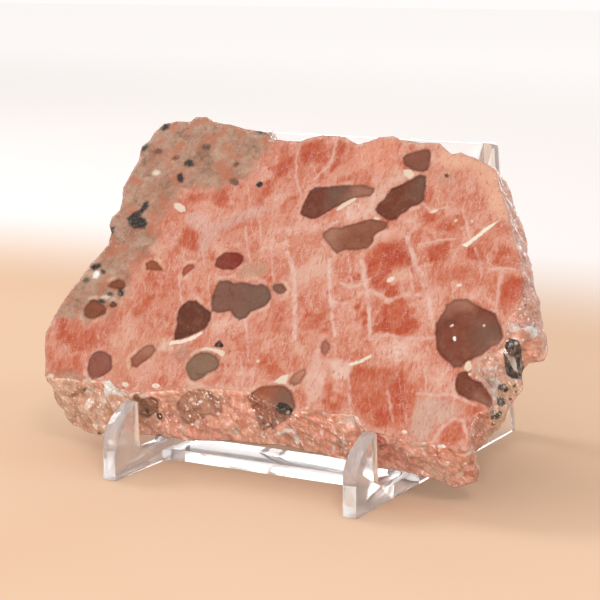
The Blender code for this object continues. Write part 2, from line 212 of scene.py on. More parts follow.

# Small marks with a clear edge, over everything else: colour, then its outlines. Later ones lie on top. The
# white and pale pink marks, and the cream ones along the lower edge, are painted glints and highlights.
MARKS = [
    (BLACK, (-30.4,51.2, -29.6,51.8, -28.4,51.4, -28,50.6, -29,50.2, -30.2,50.4)), ((64, 48, 44), (-31,48.4,
    -30.2,48.8, -29.4,47.8, -29.2,46.8, -30,46.8, -30.8,47.6)), ((24, 22, 22), (-13.5,47.6, -12.9,48.1,
    -12.2,47.9, -12,47.2, -12.5,46.8, -13.3,47)), ((74, 68, 62), (-40.4,53.7, 0.9,0.6, 70)), (DARK,
    (-37.4,58.5, 1,0.7, 30), (-15.8,58.6, 1.3,0.6)), ((122, 84, 72), (-37,53.2, 1,0.6)), ((110, 84, 74),
    (-26.8,54.7, 1,0.6)), ((128, 80, 66), (-32.6,52, 0.8,0.5, 20)), ((126, 82, 68), (-19,51.4, 0.6,0.5)),
    ((128, 92, 78), (-18.2,47.6, 1.3,0.7, -20)), (DARK, (-38.6,38.4, -37.6,39.8, -36.4,40.4, -36.2,42,
    -35.4,42.4, -34.8,41.2, -35.6,40, -36,39, -34.6,38.6, -33.8,37.6, -34,36.6, -36.4,36.4, -37.8,37.2)),
    ((78, 72, 64), (-41.8,36.2, -40.8,36.4, -40.4,35.2, -41.2,34.4)), (DARK, (-43,27.6, -42.4,28.2, -41,28.6,
    -40.6,28, -41.8,27), (-39.7,26.9, 0.7,0.35, -40)), ((112, 100, 82), (-42.8,24.8, 0.8,0.6)), ((76, 56, 48),
    (-34.9,23.8, -34.2,23.9, -33.4,22.6, -34,22.3, -35,22.8)), ((88, 82, 74), (-36.5,22.5, 0.7,0.4, -10)),
    ((74, 64, 56), (-37.8,20.9, 0.9,0.4, -10)), ((86, 80, 72), (-34.6,3.2, 0.5,0.45)), (BLACK, (-20.3,0.8,
    0.6,0.4, 20)), ((82, 72, 64), (-18.2,0.7, -17.2,0.8, -16.6,-0.1, -17.2,-0.6, -17.9,-0.1)), (DARK,
    (-16.1,-3.6, 0.7,0.4)), ((88, 82, 72), (-28.3,-4.8, 0.6,0.4, -30)), ((74, 52, 48), (-11.2,15, -10.4,15.8,
    -9.2,14.8, -9.6,14.4, -11,14.5)), (BLACK, (4.7,5, 5.2,5.6, 6.4,5.5, 7.6,5, 8.2,4.4, 8,3.7, 6.8,3.4,
    5.4,3.6, 4.8,4.2)), ((118, 70, 58), (23.9,51.6, 0.5,0.35, -30)), ((44, 36, 35), (43,21.2, 43.4,21.9,
    45,21.7, 45.8,20.6, 46.4,18.6, 47.3,17, 47.4,15, 46,14.8, 44.6,15.4, 44,16.6, 43.6,17.8, 43.1,19)), ((92,
    86, 84), (43.2,20.8, 44.2,21.6, 45.4,21.4, 45.2,20.5, 43.8,20.3)), ((228, 208, 198), (43.2,19.3,
    44.2,18.7, 45.1,18.6, 45.6,17.8, 46,16.8, 46.4,16.1, 45.8,16.2, 45.2,16.9, 44.8,17.4, 44.1,18.3)), ((196,
    184, 178), (43.9,20.9, 0.3,0.2)), ((206, 190, 184), (44.8,21.1, 0.35,0.2, -40)), ((150, 136, 130),
    (46.2,18.6, 46.8,17.6, 47,16.2, 46.6,17)), ((24, 20, 20), (44,11.2, 44.7,11.5, 45.5,10.9, 45.7,10.1,
    45,9.7, 44.3,10.1)), ((40, 34, 33), (43.8,7.9, 44.5,8.3, 45,9.1, 45.5,8.8, 45.6,7.9, 44.9,7.4, 44,7.3)),
    ((158, 152, 148), (43.5,8.8, 44.4,8.9, 44.2,8.3, 43.6,8.1)), ((70, 60, 56), (43.5,13.2, 44,13.9,
    44.8,13.7, 45.7,12.9, 45.2,12.2, 44.5,12.5, 43.8,12.5)), ((178, 164, 154), (44.7,13.1, 0.35,0.22, -30)),
    ((64, 54, 50), (46.4,13.6, 0.35,0.25, 60)), ((58, 50, 46), (46.9,12.6, 0.25,0.2)), ((74, 62, 56),
    (46.3,11.2, 0.3,0.2)), ((80, 58, 50), (46.6,9.6, 0.2,0.4)), ((166, 110, 80), (44.6,6.6, 0.5,0.3, 30)),
    (CREAM, (4.4,43.5, 5.4,44.7, 7.4,46, 8,45.9, 6.4,44.4, 4.8,43.1), (15.2,52.3, 16.6,52.4, 17.8,51.4,
    17,50.5, 15.8,51.2), (-35.8,48.5, 0.9,0.6), (-28,41.5, 1.7,0.75, -25), (37,16.8, 37.6,17.1, 38,16.4,
    38.4,15.8, 37.6,15.2, 36.9,15.8), (2.6,9.1, 4.2,10.6, 5.1,10.9, 5.2,9.2, 4,9), (-13.9,13.4, -12.8,14.2,
    -10.4,14.1, -8.6,13.7, -8.7,12.6, -10,13.3, -12,13.7), (12.9,42.2, 0.7,0.3, -10), (-1.5,12.7, 0.35,0.3)),
    ((238, 214, 196), (-20.2,14.6, -18,15, -16.4,15.8, -14.6,17.1, -14.2,16.8, -16,15.2, -18.2,14.3,
    -20.4,13.8)), ((238, 222, 200), (30.2,38.3, 31.3,38, 32.8,39.7, 34.4,41.6, 36,43.5, 35.4,43.3, 33.6,41.8,
    32.5,40.3, 31.2,38.9)), ((232, 212, 190), (15.8,14.2, 17.6,14.9, 19.9,16.6, 19.6,15.8, 18.2,14.6,
    # The (238, 218, 208) mark starting on the next line is a painted highlight along the sawn face's edge at
    # the broken right corner.
    16.4,13.8)), ((238, 218, 208), (41,14, 42,13.6, 42.6,12.8, 43.3,11.4, 43.8,10.4, 44,11.6, 43.6,13,
    43.9,14, 43.2,14.2, 43,15, 42.6,14.5)), (WHITE_GLINT, (6.2,-0.2, 7,0.2, 7.6,0.9, 8.6,1.1, 9.6,1, 10.3,0.1,
    11.2,-1, 11.1,-1.6, 10.6,-1.4, 10,-0.4, 9.4,0.6, 8.2,0.4, 7.2,-0.2, 6.4,-0.5)), (PINK_GLINT, (16.8,3, 18,4.2,
    19.4,4.9, 20.4,4.8, 21.4,3.6, 22,2.6, 21,3, 20,3.4, 19,3.6, 18,3.2)), (WHITE_GLINT, (-31.4,5.2, -30.2,5.6,
    -28.8,4.6, -27.4,4, -26,3.6, -24.4,3.6, -24.4,3.2, -26.4,3, -28,3.2, -29.2,3.2, -29.6,2.2, -28.8,1.2,
    -29.8,1.3, -30.4,2.6, -30.6,4)), (CREAM, (-12.3,-0.8, -11.4,-1.6, -10.8,-2.6, -11.6,-2.3, -12.3,-1.4)),
    (WHITE_GLINT, (33.8,20.8, 0.55,0.28, -70)), (PINK_GLINT, (38.4,23.7, 0.35,0.18, -60), (32.7,23.1, 0.4,0.2, 30),
    (23.4,44.4, 0.9,0.28, 20)), (CREAM, (28,42.9, 0.38,0.32)), (PINK_GLINT, (31,43, 0.3,0.25), (32,30.7, 0.6,0.3)),
    ((242, 208, 194), (42.8,23.4, 43.1,24.6, 44.3,24.8, 44.9,24, 44.5,23.2, 43.5,23)), (WHITE_GLINT, (45.6,23.8,
    46,24.6, 46.9,25.2, 47.8,24.4, 48.1,22.8, 47.3,22.2, 46.7,23.1)), (PINK_GLINT, (45.2,26.8, 0.5,0.3, 30),
    (46.6,27.4, 0.4,0.25)), (BLACK, (44.6,28.2, 0.22,0.18)), (PINK_GLINT, (40.6,16, 0.35,0.25)), (WHITE_GLINT, (41.6,16.2,
    0.5,0.3, 10)), (PINK_GLINT, (42.5,16.5, 0.5,0.25, 60)), (WHITE_GLINT, (43.4,16, 0.4,0.26)), (PINK_GLINT, (42,15.2,
    0.35,0.22), (38.2,14.7, 0.35,0.25), (39.5,14.3, 0.28,0.2), (19,30.6, 0.8,0.5, 30), (-12.2,4, 0.38,0.33)),
    (WHITE_GLINT, (-10.2,3.9, 0.4,0.36)), (PINK_GLINT, (-12.3,2.1, 0.3,0.4), (-6.6,3.4, 0.45,0.25, -60), (-9.8,5.2,
    0.3,0.25), (-8.4,3.4, 0.4,0.2, -50)), (WHITE_GLINT, (2.5,2.5, 0.45,0.25, -20), (4.3,1.4, 0.7,0.24, 30)), (PINK_GLINT,
    (6,1.9, 0.3,0.22)), (WHITE_GLINT, (7.3,4, 0.32,0.24), (-1.2,-0.7, 0.55,0.38, -30), (14.1,4.5, 0.42,0.3, -40),
    (14.8,1.3, 0.38,0.22, 20)), (PINK_GLINT, (10.6,5.2, 0.4,0.22), (10.8,3.6, 0.22,0.4), (12.8,2, 0.25,0.22)),
    (WHITE_GLINT, (19,0, 1,0.4, -10), (17.8,-1.2, 0.6,0.28, -60)), (PINK_GLINT, (17,-2, 0.2,0.4), (-22.2,3.5, 0.8,0.4,
    10), (-20.2,5.7, 0.9,0.5)), (CREAM, (-26.6,5.2, 0.8,0.5, -10)), (PINK_GLINT, (-33.4,3.2, 0.8,0.6)), (CREAM,
    (-34.4,5, 0.7,0.35, -40)), (PINK_GLINT, (-32.6,1.2, 0.6,0.5), (-33,-0.9, 0.6,0.4)), (CREAM, (-30,-0.6, 0.6,0.3),
    (-29.4,-2.8, 0.5,0.6)), (WHITE_GLINT, (-9.4,0, 0.5,0.3), (-10.4,-0.6, 0.3,0.3)), (PINK_GLINT, (-43,4.9, 0.7,0.5),
    (32,1.5, 1,0.3, 10), (33.6,1.2, 0.5,0.8)), (WHITE_GLINT, (36.8,1.6, 0.9,0.28), (41.6,1.1, 0.48,0.35, 30)),
    (PINK_GLINT, (36,-2.2, 0.35,0.3), (37,-3, 0.45,0.3, 30), (41.2,-2.8, 0.7,0.45, 30), (38.2,-1.4, 0.5,0.3, -30),
    (29.6,3.2, 0.5,0.38), (39.4,-3.6, 0.4,0.3)), (WHITE_GLINT, (-41,26.2, 0.7,0.8)), (CREAM, (-37.3,21.8, 0.9,0.35,
    10)),
]

# Deeper (above 0) and lighter (below 0) parts of the feldspar: strength, edge softness, outline.
DEPTHS = [
    (1, 0.5, (18.6,25, 19.5,26, 21.5,27, 23,27, 24.5,25.4, 26,24.4, 27,22, 26.5,20.6, 24,20.4, 21.5,20.6,
    19.6,20.2, 18.8,21.5, 19.2,23.2)), (0.8, 0.4, (16,23.6, 16.9,24, 18,20, 17.2,19.4, 16.2,21)), (1, 0.6,
    (13,34.6, 15,30, 16.4,28.2, 18,28, 19,30, 18.6,33, 21.8,34, 20.6,37.8, 17.6,38, 14.2,37.4)), (0.9, 0.3,
    (18.5,28.4, 19.4,27.1, 20.6,27.1, 21.4,28.6, 20.4,29.5, 19,29.2)), (0.8, 0.4, (20,32.6, 20.4,34.4,
    22.6,34.2, 23.6,32.4, 21.6,32)), (0.75, 0.8, (17,13.6, 19.6,14, 22,14.6, 25,13.8, 27,13, 28.6,12, 29.6,10,
    29.6,7, 28,4, 22,3.4, 19.6,6, 18.4,8, 17.4,10)), (0.6, 0.4, (10.4,9.6, 13,10, 15.6,9, 17.4,8, 16.5,5.8,
    14,5.4, 11,6.6)), (0.9, 0.6, (39,31, 39.6,28, 40.4,27, 42,27.6, 44,29, 44.8,31, 43.6,33.6, 41,33.8)),
    (0.7, 0.4, (35.6,4, 36.6,5.4, 38,6.2, 39.6,5.6, 40.6,3.6, 38,2.2, 36,2.4)), (0.8, 0.6, (40,10, 42,8.6,
    43.4,7.4, 43.4,4, 42,2, 40.6,5, 39.4,8)), (0.6, 0.6, (28,31.4, 28.6,34, 33,34.4, 34,32.4, 31,30.8)), (0.8,
    0.4, (21,43, 22,43.8, 23.6,43.6, 24.4,42.2, 22.4,42)), (0.75, 0.5, (25,42, 26.6,43.2, 28.6,41.8,
    27.6,40.6, 25,40.6)), (0.7, 0.3, (22.8,39.8, 23.6,39.2, 24.8,38.6, 24.2,40.2)), (0.9, 0.4, (24.6,37.8,
    27.8,38.6, 28.8,37.4, 27.8,34.8, 25.4,34.4, 24.6,36.6)), (0.95, 0.4, (31.8,38, 33.6,37.8, 35.2,36.6,
    34.4,35.2, 32.4,36)), (0.55, 0.8, (35.4,38.6, 41.6,38.4, 43.8,34.6, 37.2,34.8)), (0.7, 0.4, (19.4,46,
    20.4,47.6, 21.4,46.6, 20.8,45.2)), (0.6, 0.3, (32.6,46.2, 0.7,0.9)), (0.5, 0.3, (27.6,46.9, 0.7,0.4)), (1,
    0.6, (-10.8,56.4, -9,56, -7.4,53, -7.4,51, -8,49.6, -10.6,49.4, -11.4,50.6, -10.4,53)), (0.95, 0.6,
    (-6.6,57.2, -2,57, 0.4,56, 0.2,53.4, -2.4,52.6, -5.6,52.4, -6.4,54.6)), (1, 0.4, (0.2,58.4, 2,57.6,
    2.4,54, 2,51, 0.8,51, 0.4,54)), (0.8, 0.3, (-2.2,51.6, -0.6,50.9, 0.2,49.4, -0.6,48.3, -1.6,49.4)), (0.6,
    0.4, (2.8,49.3, 3.4,50.5, 5.6,50.7, 5.2,49.5)), (0.6, 0.3, (-4.8,45.1, 0.8,0.6)), (0.35, 0.6, (6.4,50,
    6.6,52.6, 10.6,53, 10.4,50.2)), (0.5, 0.5, (-12,44, -11.4,48.6, -9.6,48.8, -10.6,44)), (0.9, 0.5,
    (-22,43.6, -21.6,46, -19.4,45.8, -18.2,43, -16.4,42.8, -16.6,41.6, -19.6,42)), (0.8, 0.5, (-27.4,42.4,
    -27,44.4, -23.4,44.8, -22,43, -25,42.6)), (0.5, 0.6, (-33.8,41.4, -34,45.6, -30.6,45, -30.6,42)), (0.75,
    0.6, (-26.2,35.4, -25.6,37.4, -23.4,37, -22,35, -20.6,33.2, -23,32.6, -25.4,33.4)), (0.4, 1, (-31,18.6,
    -30,27.4, -24,28, -21.6,24, -21,18, -26,17.6)), (0.6, 0.4, (-28.4,21, -28.2,23, -26.8,22.4, -27,20.8)),
    (0.7, 0.4, (-25.4,20.4, -23.6,20, -22,18.6, -23.4,18, -25,19.2)), (0.8, 0.3, (-18.8,33, -17,33.6,
    -16.4,31.6, -17.4,30.8)), (0.6, 0.3, (-18.4,25, 0.7,0.4, -30)), (0.75, 0.7, (-45,16.4, -41.6,16.6,
    -38,15.6, -35.2,13, -36.6,11, -39.6,10.4, -42,11.4, -45,12)), (0.6, 0.6, (-43.6,8.6, -38,9.4, -36.4,7.2,
    -37,4.6, -40,5.6, -43.6,6.4)), (0.7, 0.5, (-36,15.4, -34.4,16.6, -31,16.4, -31.4,14.6, -34,14)), (0.8,
    0.3, (0.4,12, 2,13, 4,11.6, 4.6,10.6, 3,9.6, 1.4,10.6)), (0.6, 0.5, (-3.8,11.6, -2.6,13.4, 0.4,14.6,
    1.6,13.2, -0.2,12, -1.4,11.4)), (0.8, 0.4, (11,28.8, 11.2,31, 12.8,31.4, 13.7,30.2, 12,28.8)), (0.7, 0.3,
    (10.2,25.6, 11,26.6, 13.2,26.4, 12.2,25.6)), (0.8, 0.3, (14,24.5, 0.9,0.6)), (0.7, 0.3, (9.4,19.6,
    0.9,0.6)), (0.55, 0.5, (4,19.8, 4.6,23.4, 8.6,23, 9,20, 6,19.4)), (0.6, 0.4, (-1.2,22.8, -0.8,24.6,
    0.6,24.2, 0.6,22.6)), (0.5, 0.4, (-5,28.6, 1.4,0.8)), (0.45, 0.8, (-4,18.4, -3,21.4, 1,21.4, 1.6,18.6)),
    (0.4, 0.8, (-7,4.4, -5,6, 2,2.4, 0,0.6)), (0.7, 0.8, (9,4.6, 16,5, 17,1.6, 14,-1.4, 10,1)), (0.5, 0.6,
    (13,6.4, 18,6, 20,5, 16,4.4)), (0.9, 0.5, (24,3, 27,2, 30.6,0.4, 31,-1.6, 27,-3, 25.4,-1)), (0.8, 0.6,
    (35,0.6, 37,1, 41,1.4, 43.4,0, 44.4,-3.4, 42.6,-3.4, 40,-0.6, 36,-1)), (0.5, 0.8, (-30,1, -27,2.6, -26,0,
    -28,-1)), (0.4, 0.8, (-21,-1, -16,-0.6, -12,-2.4, -17,-3)), (-0.8, 0.7, (19.6,19.4, 24,19.6, 29,19.6,
    30,17, 27,15.4, 21,15.6)), (-0.7, 0.7, (26.4,29.6, 30,30, 30.2,27, 29,24, 27.6,24.4, 26.6,26.6, 24.8,28)),
    (-0.7, 0.8, (30.4,15.8, 33.4,15.4, 35.6,14, 35.6,11, 32.6,10, 30.6,11)), (-0.6, 0.8, (32,29.8, 38.4,29.6,
    38.6,27.6, 35,28.8, 32.2,28.6)), (-0.8, 0.8, (-2.4,40.6, 3,40.6, 6.4,44.6, 10.6,46, 12,44.4, 11,42.4,
    6,41, 2.6,39, -1.6,37)), (-0.7, 0.7, (14,38.8, 17,41, 20,43, 22,41.4, 19.4,39, 15,38)), (-0.5, 0.8,
    (-8.6,46.4, -6,46.6, -5,44.6, -8.4,44)), (-0.5, 0.8, (-8,38, -3,39.4, -2.6,35, -8,34)), (-0.6, 0.8,
    (-14,20.4, -10,20.4, -6.4,19.6, -9,16.6, -13,17.6)), (-0.6, 0.8, (-4.6,10.4, -0.6,11.6, 2,9.4, -0.6,7.6,
    -5,7.8)), (-0.5, 0.8, (-8.4,7, -0.6,7.6, -1.8,6, -8,6.2)), (-0.5, 0.8, (33,-4, 36,-0.6, 40,-0.8,
    42,-4.4)), (-0.4, 0.6, (12.8,48, 11.6,50, 14,50.4, 14.6,48.8)),
]

# Parts with another hue: colour, strength, edge softness, outline.
TINTS = [
    ((234, 178, 150), 0.75, 1.2, (20.6,57.6, 21.4,54.4, 24.4,53, 28,53.4, 31,50, 33,46.4, 36,43.8, 40,42,
    44,34, 50,34, 40,50, 30,60)), ((228, 152, 126), 0.6, 1, (4.6,51.6, 5,58, 9,60, 13,59, 13.4,54, 13,51)),
    ((224, 186, 164), 0.7, 0.6, (13,60, 14,57.4, 17,57.4, 20.4,57.4, 21.6,58.6, 17,60)), ((226, 184, 162),
    0.7, 0.6, (13.6,53.6, 14.6,52.4, 17.6,50.8, 15.6,49.6, 13.2,49)), ((226, 186, 168), 0.65, 0.8, (10.2,47,
    12.4,48.6, 13.4,47.2, 12.4,45.4, 11.6,43.4, 10.4,44)), ((214, 174, 160), 0.6, 0.6, (-26,40.8, -23,40.2,
    -20.6,39, -18,39.4, -16,41.2, -12,43, -9.4,43, -9.6,41.2, -13,40.4, -15.6,38.8, -17.4,37.2, -18.4,34.8,
    -19,31.6, -20.8,31.6, -21,35, -21.8,36.8, -24,38, -26.6,39.2)), ((226, 186, 166), 0.6, 0.8, (-1,28.6,
    0.6,31.6, 3.4,34, 7,34.2, 7.4,31, 4.6,29.6, 2,28)), ((234, 200, 184), 0.7, 0.6, (11.6,14.2, 14.4,14.6,
    16.6,14, 16.8,11.4, 14,11)), ((232, 194, 176), 0.6, 0.8, (8.6,16, 9.6,16.4, 12,12.6, 12.6,7.2, 10.6,5.6,
    9,8)), ((228, 184, 158), 0.6, 0.6, (3.6,14.4, 4.4,16.8, 6.8,17, 7.4,14.6)), ((226, 184, 160), 0.65, 0.5,
    (-15.4,28, -11,28.6, -6,28.6, -4,27.6, -6,27.9, -10,27.8, -14.6,27.7)), ((192, 146, 122), 0.85, 0.35,
    (-11,31, -9.4,31.8, -6.2,31.4, -5.4,30.6, -6,29.2, -8.6,28.5, -10.8,29)), ((206, 168, 150), 0.8, 0.8,
    (30.2,9.6, 32,9.8, 35,9.6, 38,9, 38.6,7.4, 36.4,6.4, 34.6,4.6, 34,2.6, 30.6,2.4, 30,5.6)), ((190, 156,
    136), 0.9, 0.3, (38.6,17.4, 40.4,18, 42,20.2, 43,20.4, 43.4,18, 44,15.6, 43.2,13.8, 41.6,13.8, 40,14.2,
    38.7,15)), ((214, 176, 140), 0.95, 0.4, (43.4,14.4, 44.6,14.8, 47,15, 49,13, 48,7, 46,3.4, 44,4.6,
    43.2,6.6, 44,9.2, 43.6,12)), ((226, 176, 152), 0.7, 0.8, (18,30.2, 19.4,32.4, 21.8,33.2, 22,31,
    19.8,29.8)), ((200, 156, 132), 0.6, 0.7, (24,51.3, 1.9,1.4)), ((188, 142, 120), 0.85, 0.5, (-41.6,4.6,
    -38,5, -36.2,3.6, -36,1.6, -38.8,1.2, -40.8,2.6)), ((214, 156, 128), 0.5, 1, (-31,9, -28,12, -26,15,
    -22.6,15.6, -21,13.4, -22,10, -26,7, -30,6.6)), ((230, 192, 168), 0.6, 0.6, (-22.8,12.6, -22.2,15,
    -20,15.2, -19.2,13.6, -20.6,12)), ((176, 136, 118), 0.6, 0.6, (-19.6,12, -17.6,14, -15.6,13, -16,11)),
    ((222, 170, 146), 0.5, 0.8, (-33,14, -31,19, -28,18, -28,13, -31,11)), ((222, 176, 150), 0.5, 0.7,
    (-32,32.4, -30.4,34.6, -28.2,33, -29,31)), ((214, 164, 134), 0.5, 0.9, (-5,-0.8, 0,0.6, 6,0.2, 8,-2.6,
    -2,-2.8)),
]

# Where the smoky grains turn grey, and where they pale.
SMOKY = [
    (36.4,23.4, 38.4,25, 40.8,24.4, 43,22, 41.6,19.6, 39,18, 37.4,20), (17.8,46.6, 18,51.6, 21,52, 21.4,46.6),
    (3.6,9.2, 3.4,5, 4.4,1.6, 8.8,1.4, 9,9), (-8.6,27.8, -8,21.8, -5.6,20, -1.8,23.6, -2.6,27.8), (1.6,48.6,
    2,44.4, 4.6,44, 6.8,45.4, 5,48.8),
]
FADED = [
    (6,45, 6.4,49.2, 11.4,49, 11,45.8), (2.6,38, 4,40.4, 6.6,40.2, 6.4,36, 5.4,34.8), (30,25.8, 31,28.4,
    35,28.8, 36,26.8, 32.4,26), (39.4,17.8, 40.4,20.6, 43,21.2, 43,18.4, 40.8,17.4), (-27,12, -25,14.4,
    -22.4,13.8, -23.4,12, -25,11.4), (-7,0.4, -9.4,2.4, -7.6,4, -5,4.6, -4.8,1), (40.6,11.4, 43.4,9.8,
    44.2,8.6, 42,9, 39.8,10),
]

# The granular grey-tan rock along the upper left and the left edge.
ROCK = [
    (-50,65, -12.5,65, -12.6,58, -14,55, -14.6,52, -14.4,49.6, -17,47.6, -20,46.8, -24,46.4, -28,46.4,
    -30,44.8, -29.6,42.6, -30.4,40, -32,37.6, -30,34, -31.4,31.4, -33,29, -32.4,26, -32.6,22, -34.4,19.6,
    -36,17.2, -41.4,16.8, -50,17), (-50,6, -42,5.6, -35.6,5.4, -31,3.6, -24,3.4, -19,2.6, -18.6,-1, -22,-3,
    -28,-5, -34,-4, -38,-2, -50,-8),
]

# Pale veins in the feldspar: width, strength, path.
VEINS = [
    (0.55, 0.85, (-2.6,34, -0.4,31.2, 1.4,26.6, 2.8,21.8, 4.2,18)), (0.3, 0.6, (0.7,27.6, 1.9,24.2, 3,20.6,
    3.8,17.6)), (0.42, 0.95, (6.2,33, 7.4,29.6, 8.6,26.2, 10,22.6, 11.6,19.4)), (0.5, 0.9, (12.7,33.4,
    14.2,29.8, 15.6,27, 17,23.6, 18,20.6, 18.6,19.4)), (0.55, 0.85, (19.8,38.8, 21.4,36.4, 22.8,34, 24.6,31.6,
    26.2,29, 27.4,27.2, 28.4,24.6)), (0.28, 0.55, (24.6,33.8, 25.8,30.8, 26.6,28.6)), (0.32, 0.6, (-6.6,20.2,
    -5.2,17, -4,14)), (0.24, 0.5, (-5,12.6, -3.8,10.2, -3,7.8)), (0.3, 0.6, (16.6,11.6, 17.8,8.4, 18.8,5.6)),
    (0.25, 0.5, (29.6,15.6, 30.6,13.4, 31.2,11)), (0.3, 0.5, (33.2,37.6, 34.4,35.4, 35.4,33)), (0.26, 0.5,
    (9.6,34.4, 11,31.4, 12,28.6)), (0.3, 0.5, (22,33, 23.2,30.4, 24.2,28)), (0.3, 0.5, (24.6,9.6, 26,7,
    27,5)), (0.3, 0.55, (-10.8,41, -9.4,38, -8,34.6)), (0.3, 0.5, (-6,34.6, -4.6,31, -3.6,28.6)), (0.4, 0.6,
    (38.8,34, 39.2,31, 39.6,27.8)), (0.5, 0.65, (14,27.6, 16,28.2, 18.6,27.2, 19.8,26.4, 21,27.2, 22.6,28,
    25,28.2)), (0.45, 0.6, (18.6,19.8, 21.6,20.2, 24,20, 27,19.9, 29.6,20.6)), (0.3, 0.6, (36.8,34.2, 39,34.6,
    41.4,34.4, 44,34.6)), (0.3, 0.6, (23,37.9, 25.6,38.8, 28.3,39.3)), (0.4, 0.65, (10.2,29, 11.8,28.3,
    13.4,29, 14.8,30.2)), (0.35, 0.6, (9.8,25.4, 11.4,25.1, 14,27)), (0.35, 0.6, (30.2,10.2, 33,10.2, 36,10.8,
    38.6,10)), (0.35, 0.6, (35,2.2, 36,5, 37.6,6.6, 39,6.6, 40.6,4)), (0.3, 0.6, (-1.6,49.6, 0.4,52.6,
    0.2,58)), (0.3, 0.5, (-7,57, -6.8,53, -5.8,49.6, -4,46.6)), (0.28, 0.5, (-12.6,38, -11,34.6, -9.6,32)),
    (0.3, 0.5, (-23,27, -21.6,24, -20.8,22.4)), (0.3, 0.55, (20.6,46, 22.4,44.6, 25.4,45.4)), (0.26, 0.5,
    (29,44.6, 30.6,41.6, 31.6,39.6)),
]


def corners(row):
    """The points of an outline or path from its row of numbers."""
    if len(row) > 5:
        return np.array(row, float).reshape(-1, 2)
    u, v, long, short, *degrees = row
    turn = math.radians(sum(degrees))
    points = []
    for step in range(6):
        x = long * math.cos(math.radians(60 * step))
        y = short * math.sin(math.radians(60 * step))
        across = x * math.cos(turn) - y * math.sin(turn)
        points.append((u + across, v + x * math.sin(turn) + y * math.cos(turn)))
    return np.array(points)


def outline_distance(points, outline):
    """Signed distance to a closed outline in millimetres, below 0 inside it, and BEYOND well away from it."""
    near = np.all((points > outline.min(axis=0) - FAR) & (points < outline.max(axis=0) + FAR), axis=1)
    here = points[near]
    distance = np.full(len(here), 1e9)
    inside = np.zeros(len(here), bool)
    for a, b in zip(outline, np.roll(outline, -1, axis=0)):
        run = b - a
        offset = here - a
        along = np.clip((offset @ run) / (run @ run), 0.0, 1.0)
        distance = np.minimum(distance, np.linalg.norm(offset - along[:, None] * run, axis=1))
        crosses = (a[1] > here[:, 1]) != (b[1] > here[:, 1])
        if b[1] != a[1]:
            inside ^= crosses & (here[:, 0] < a[0] + (here[:, 1] - a[1]) * run[0] / run[1])
    signed = np.full(len(points), BEYOND)
    signed[near] = np.where(inside, -distance, distance)
    return signed


def distances(points, rows):
    return np.stack([outline_distance(points, corners(row)) for row in rows])


def topmost_outline(points, rows):
    """The smallest signed distance over several outlines, and which one lies on top there."""
    every = distances(points, rows)
    which = every.argmin(axis=0)
    for index in range(len(rows)):
        which[every[index] < 0.03] = index
    return every.min(axis=0), which


def nearest_vein(points):
    """Signed distance across the nearest vein, plain distance to it, its half width and its strength."""
    near = np.full(len(points), 1e9)
    across = np.full(len(points), BEYOND)
    half = np.zeros(len(points))
    strength = np.zeros(len(points))
    for width, power, row in VEINS:
        path = corners(row)
        for a, b in zip(path, path[1:]):
            run = b - a
            length = np.linalg.norm(run)
            offset = points - a
            along = np.clip((offset @ run) / length ** 2, 0.0, 1.0)
            distance = np.linalg.norm(offset - along[:, None] * run, axis=1)
            side = (run[0] * offset[:, 1] - run[1] * offset[:, 0]) / length
            closer = distance < near
            near[closer] = distance[closer]
            across[closer] = side[closer]
            half[closer] = 0.5 * width
            strength[closer] = power
    return across, near, half, strength


def falloff(distance, soft):
    """1 inside an outline, 0 outside, smooth over its soft edge."""
    x = np.clip(0.5 - 0.5 * distance / soft, 0.0, 1.0)
    return x * x * (3.0 - 2.0 * x)


def packed_mesh(node):
    bm = bmesh.new()
    bm.from_mesh(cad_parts[node].data)
    bmesh.ops.remove_doubles(bm, verts=bm.verts[:], dist=MERGE)
    return bm


def mesh_from(bm, name):
    mesh = bpy.data.meshes.new(name)
    bm.to_mesh(mesh)
    bm.free()
    return mesh


def add_object(name, data):
    made = bpy.data.objects.new(name, data)
    bpy.context.scene.collection.objects.link(made)
    return made


def tidy_normals(bm):
    bmesh.ops.recalc_face_normals(bm, faces=bm.faces[:])
    bm.normal_update()


def rim_mesh():
    """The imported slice's rim as a finer open band, in slice millimetres, finest where the photo shows it."""
    bm = packed_mesh("sunstone_slice")
    bm.transform(SLICE.inverted())
    for v in bm.verts:
        if v.co.z < SNAP:
            v.co.z = 0.0
        if v.co.z > THICKNESS - SNAP:
            v.co.z = THICKNESS
    sawn = [f for f in bm.faces if {v.co.z for v in f.verts} in ({0.0}, {THICKNESS})]
    bmesh.ops.delete(bm, geom=sawn, context="FACES")
    bmesh.ops.subdivide_edges(bm, edges=bm.edges[:], cuts=2, use_grid_fill=True)
    inner = [v for v in bm.verts if not v.is_boundary]
    for _ in range(2):
        bmesh.ops.smooth_vert(bm, verts=inner, factor=0.5, use_axis_x=True, use_axis_y=True, use_axis_z=True)
    tidy_normals(bm)
    in_view = [e for e in bm.edges if sum(VIEW_U * v.normal.x + VIEW_V * v.normal.y for v in e.verts) > 0.1]
    bmesh.ops.subdivide_edges(bm, edges=in_view, cuts=1, use_grid_fill=True)
    tidy_normals(bm)
    return bm


def broken_relief(p):
    """Relief of the broken rim at a point in slice millimetres: angular pits, grains and lumps."""
    pit, _ = noise.voronoi(p / PIT_SIZE)
    grain, _ = noise.voronoi(p / GRAIN_SIZE)
    lump = noise.noise(p / LUMP_SIZE)
    return PIT_HEIGHT * (pit[0] - 0.45) + GRAIN_HEIGHT * (grain[0] - 0.4) + LUMP_HEIGHT * lump


def roughen(bm):
    """Pushes the rim out and in by its relief, less towards the sawn faces."""
    for v in bm.verts:
        edge = min(v.co.z, THICKNESS - v.co.z)
        keep = KEPT_AT_EDGE + (1.0 - KEPT_AT_EDGE) * min(1.0, edge / EDGE_REACH)
        push = v.normal.copy()
        if edge == 0.0:
            push.z = 0.0
        v.co += push * (broken_relief(v.co) * keep)
        v.co.z = min(max(v.co.z, 0.0), THICKNESS)


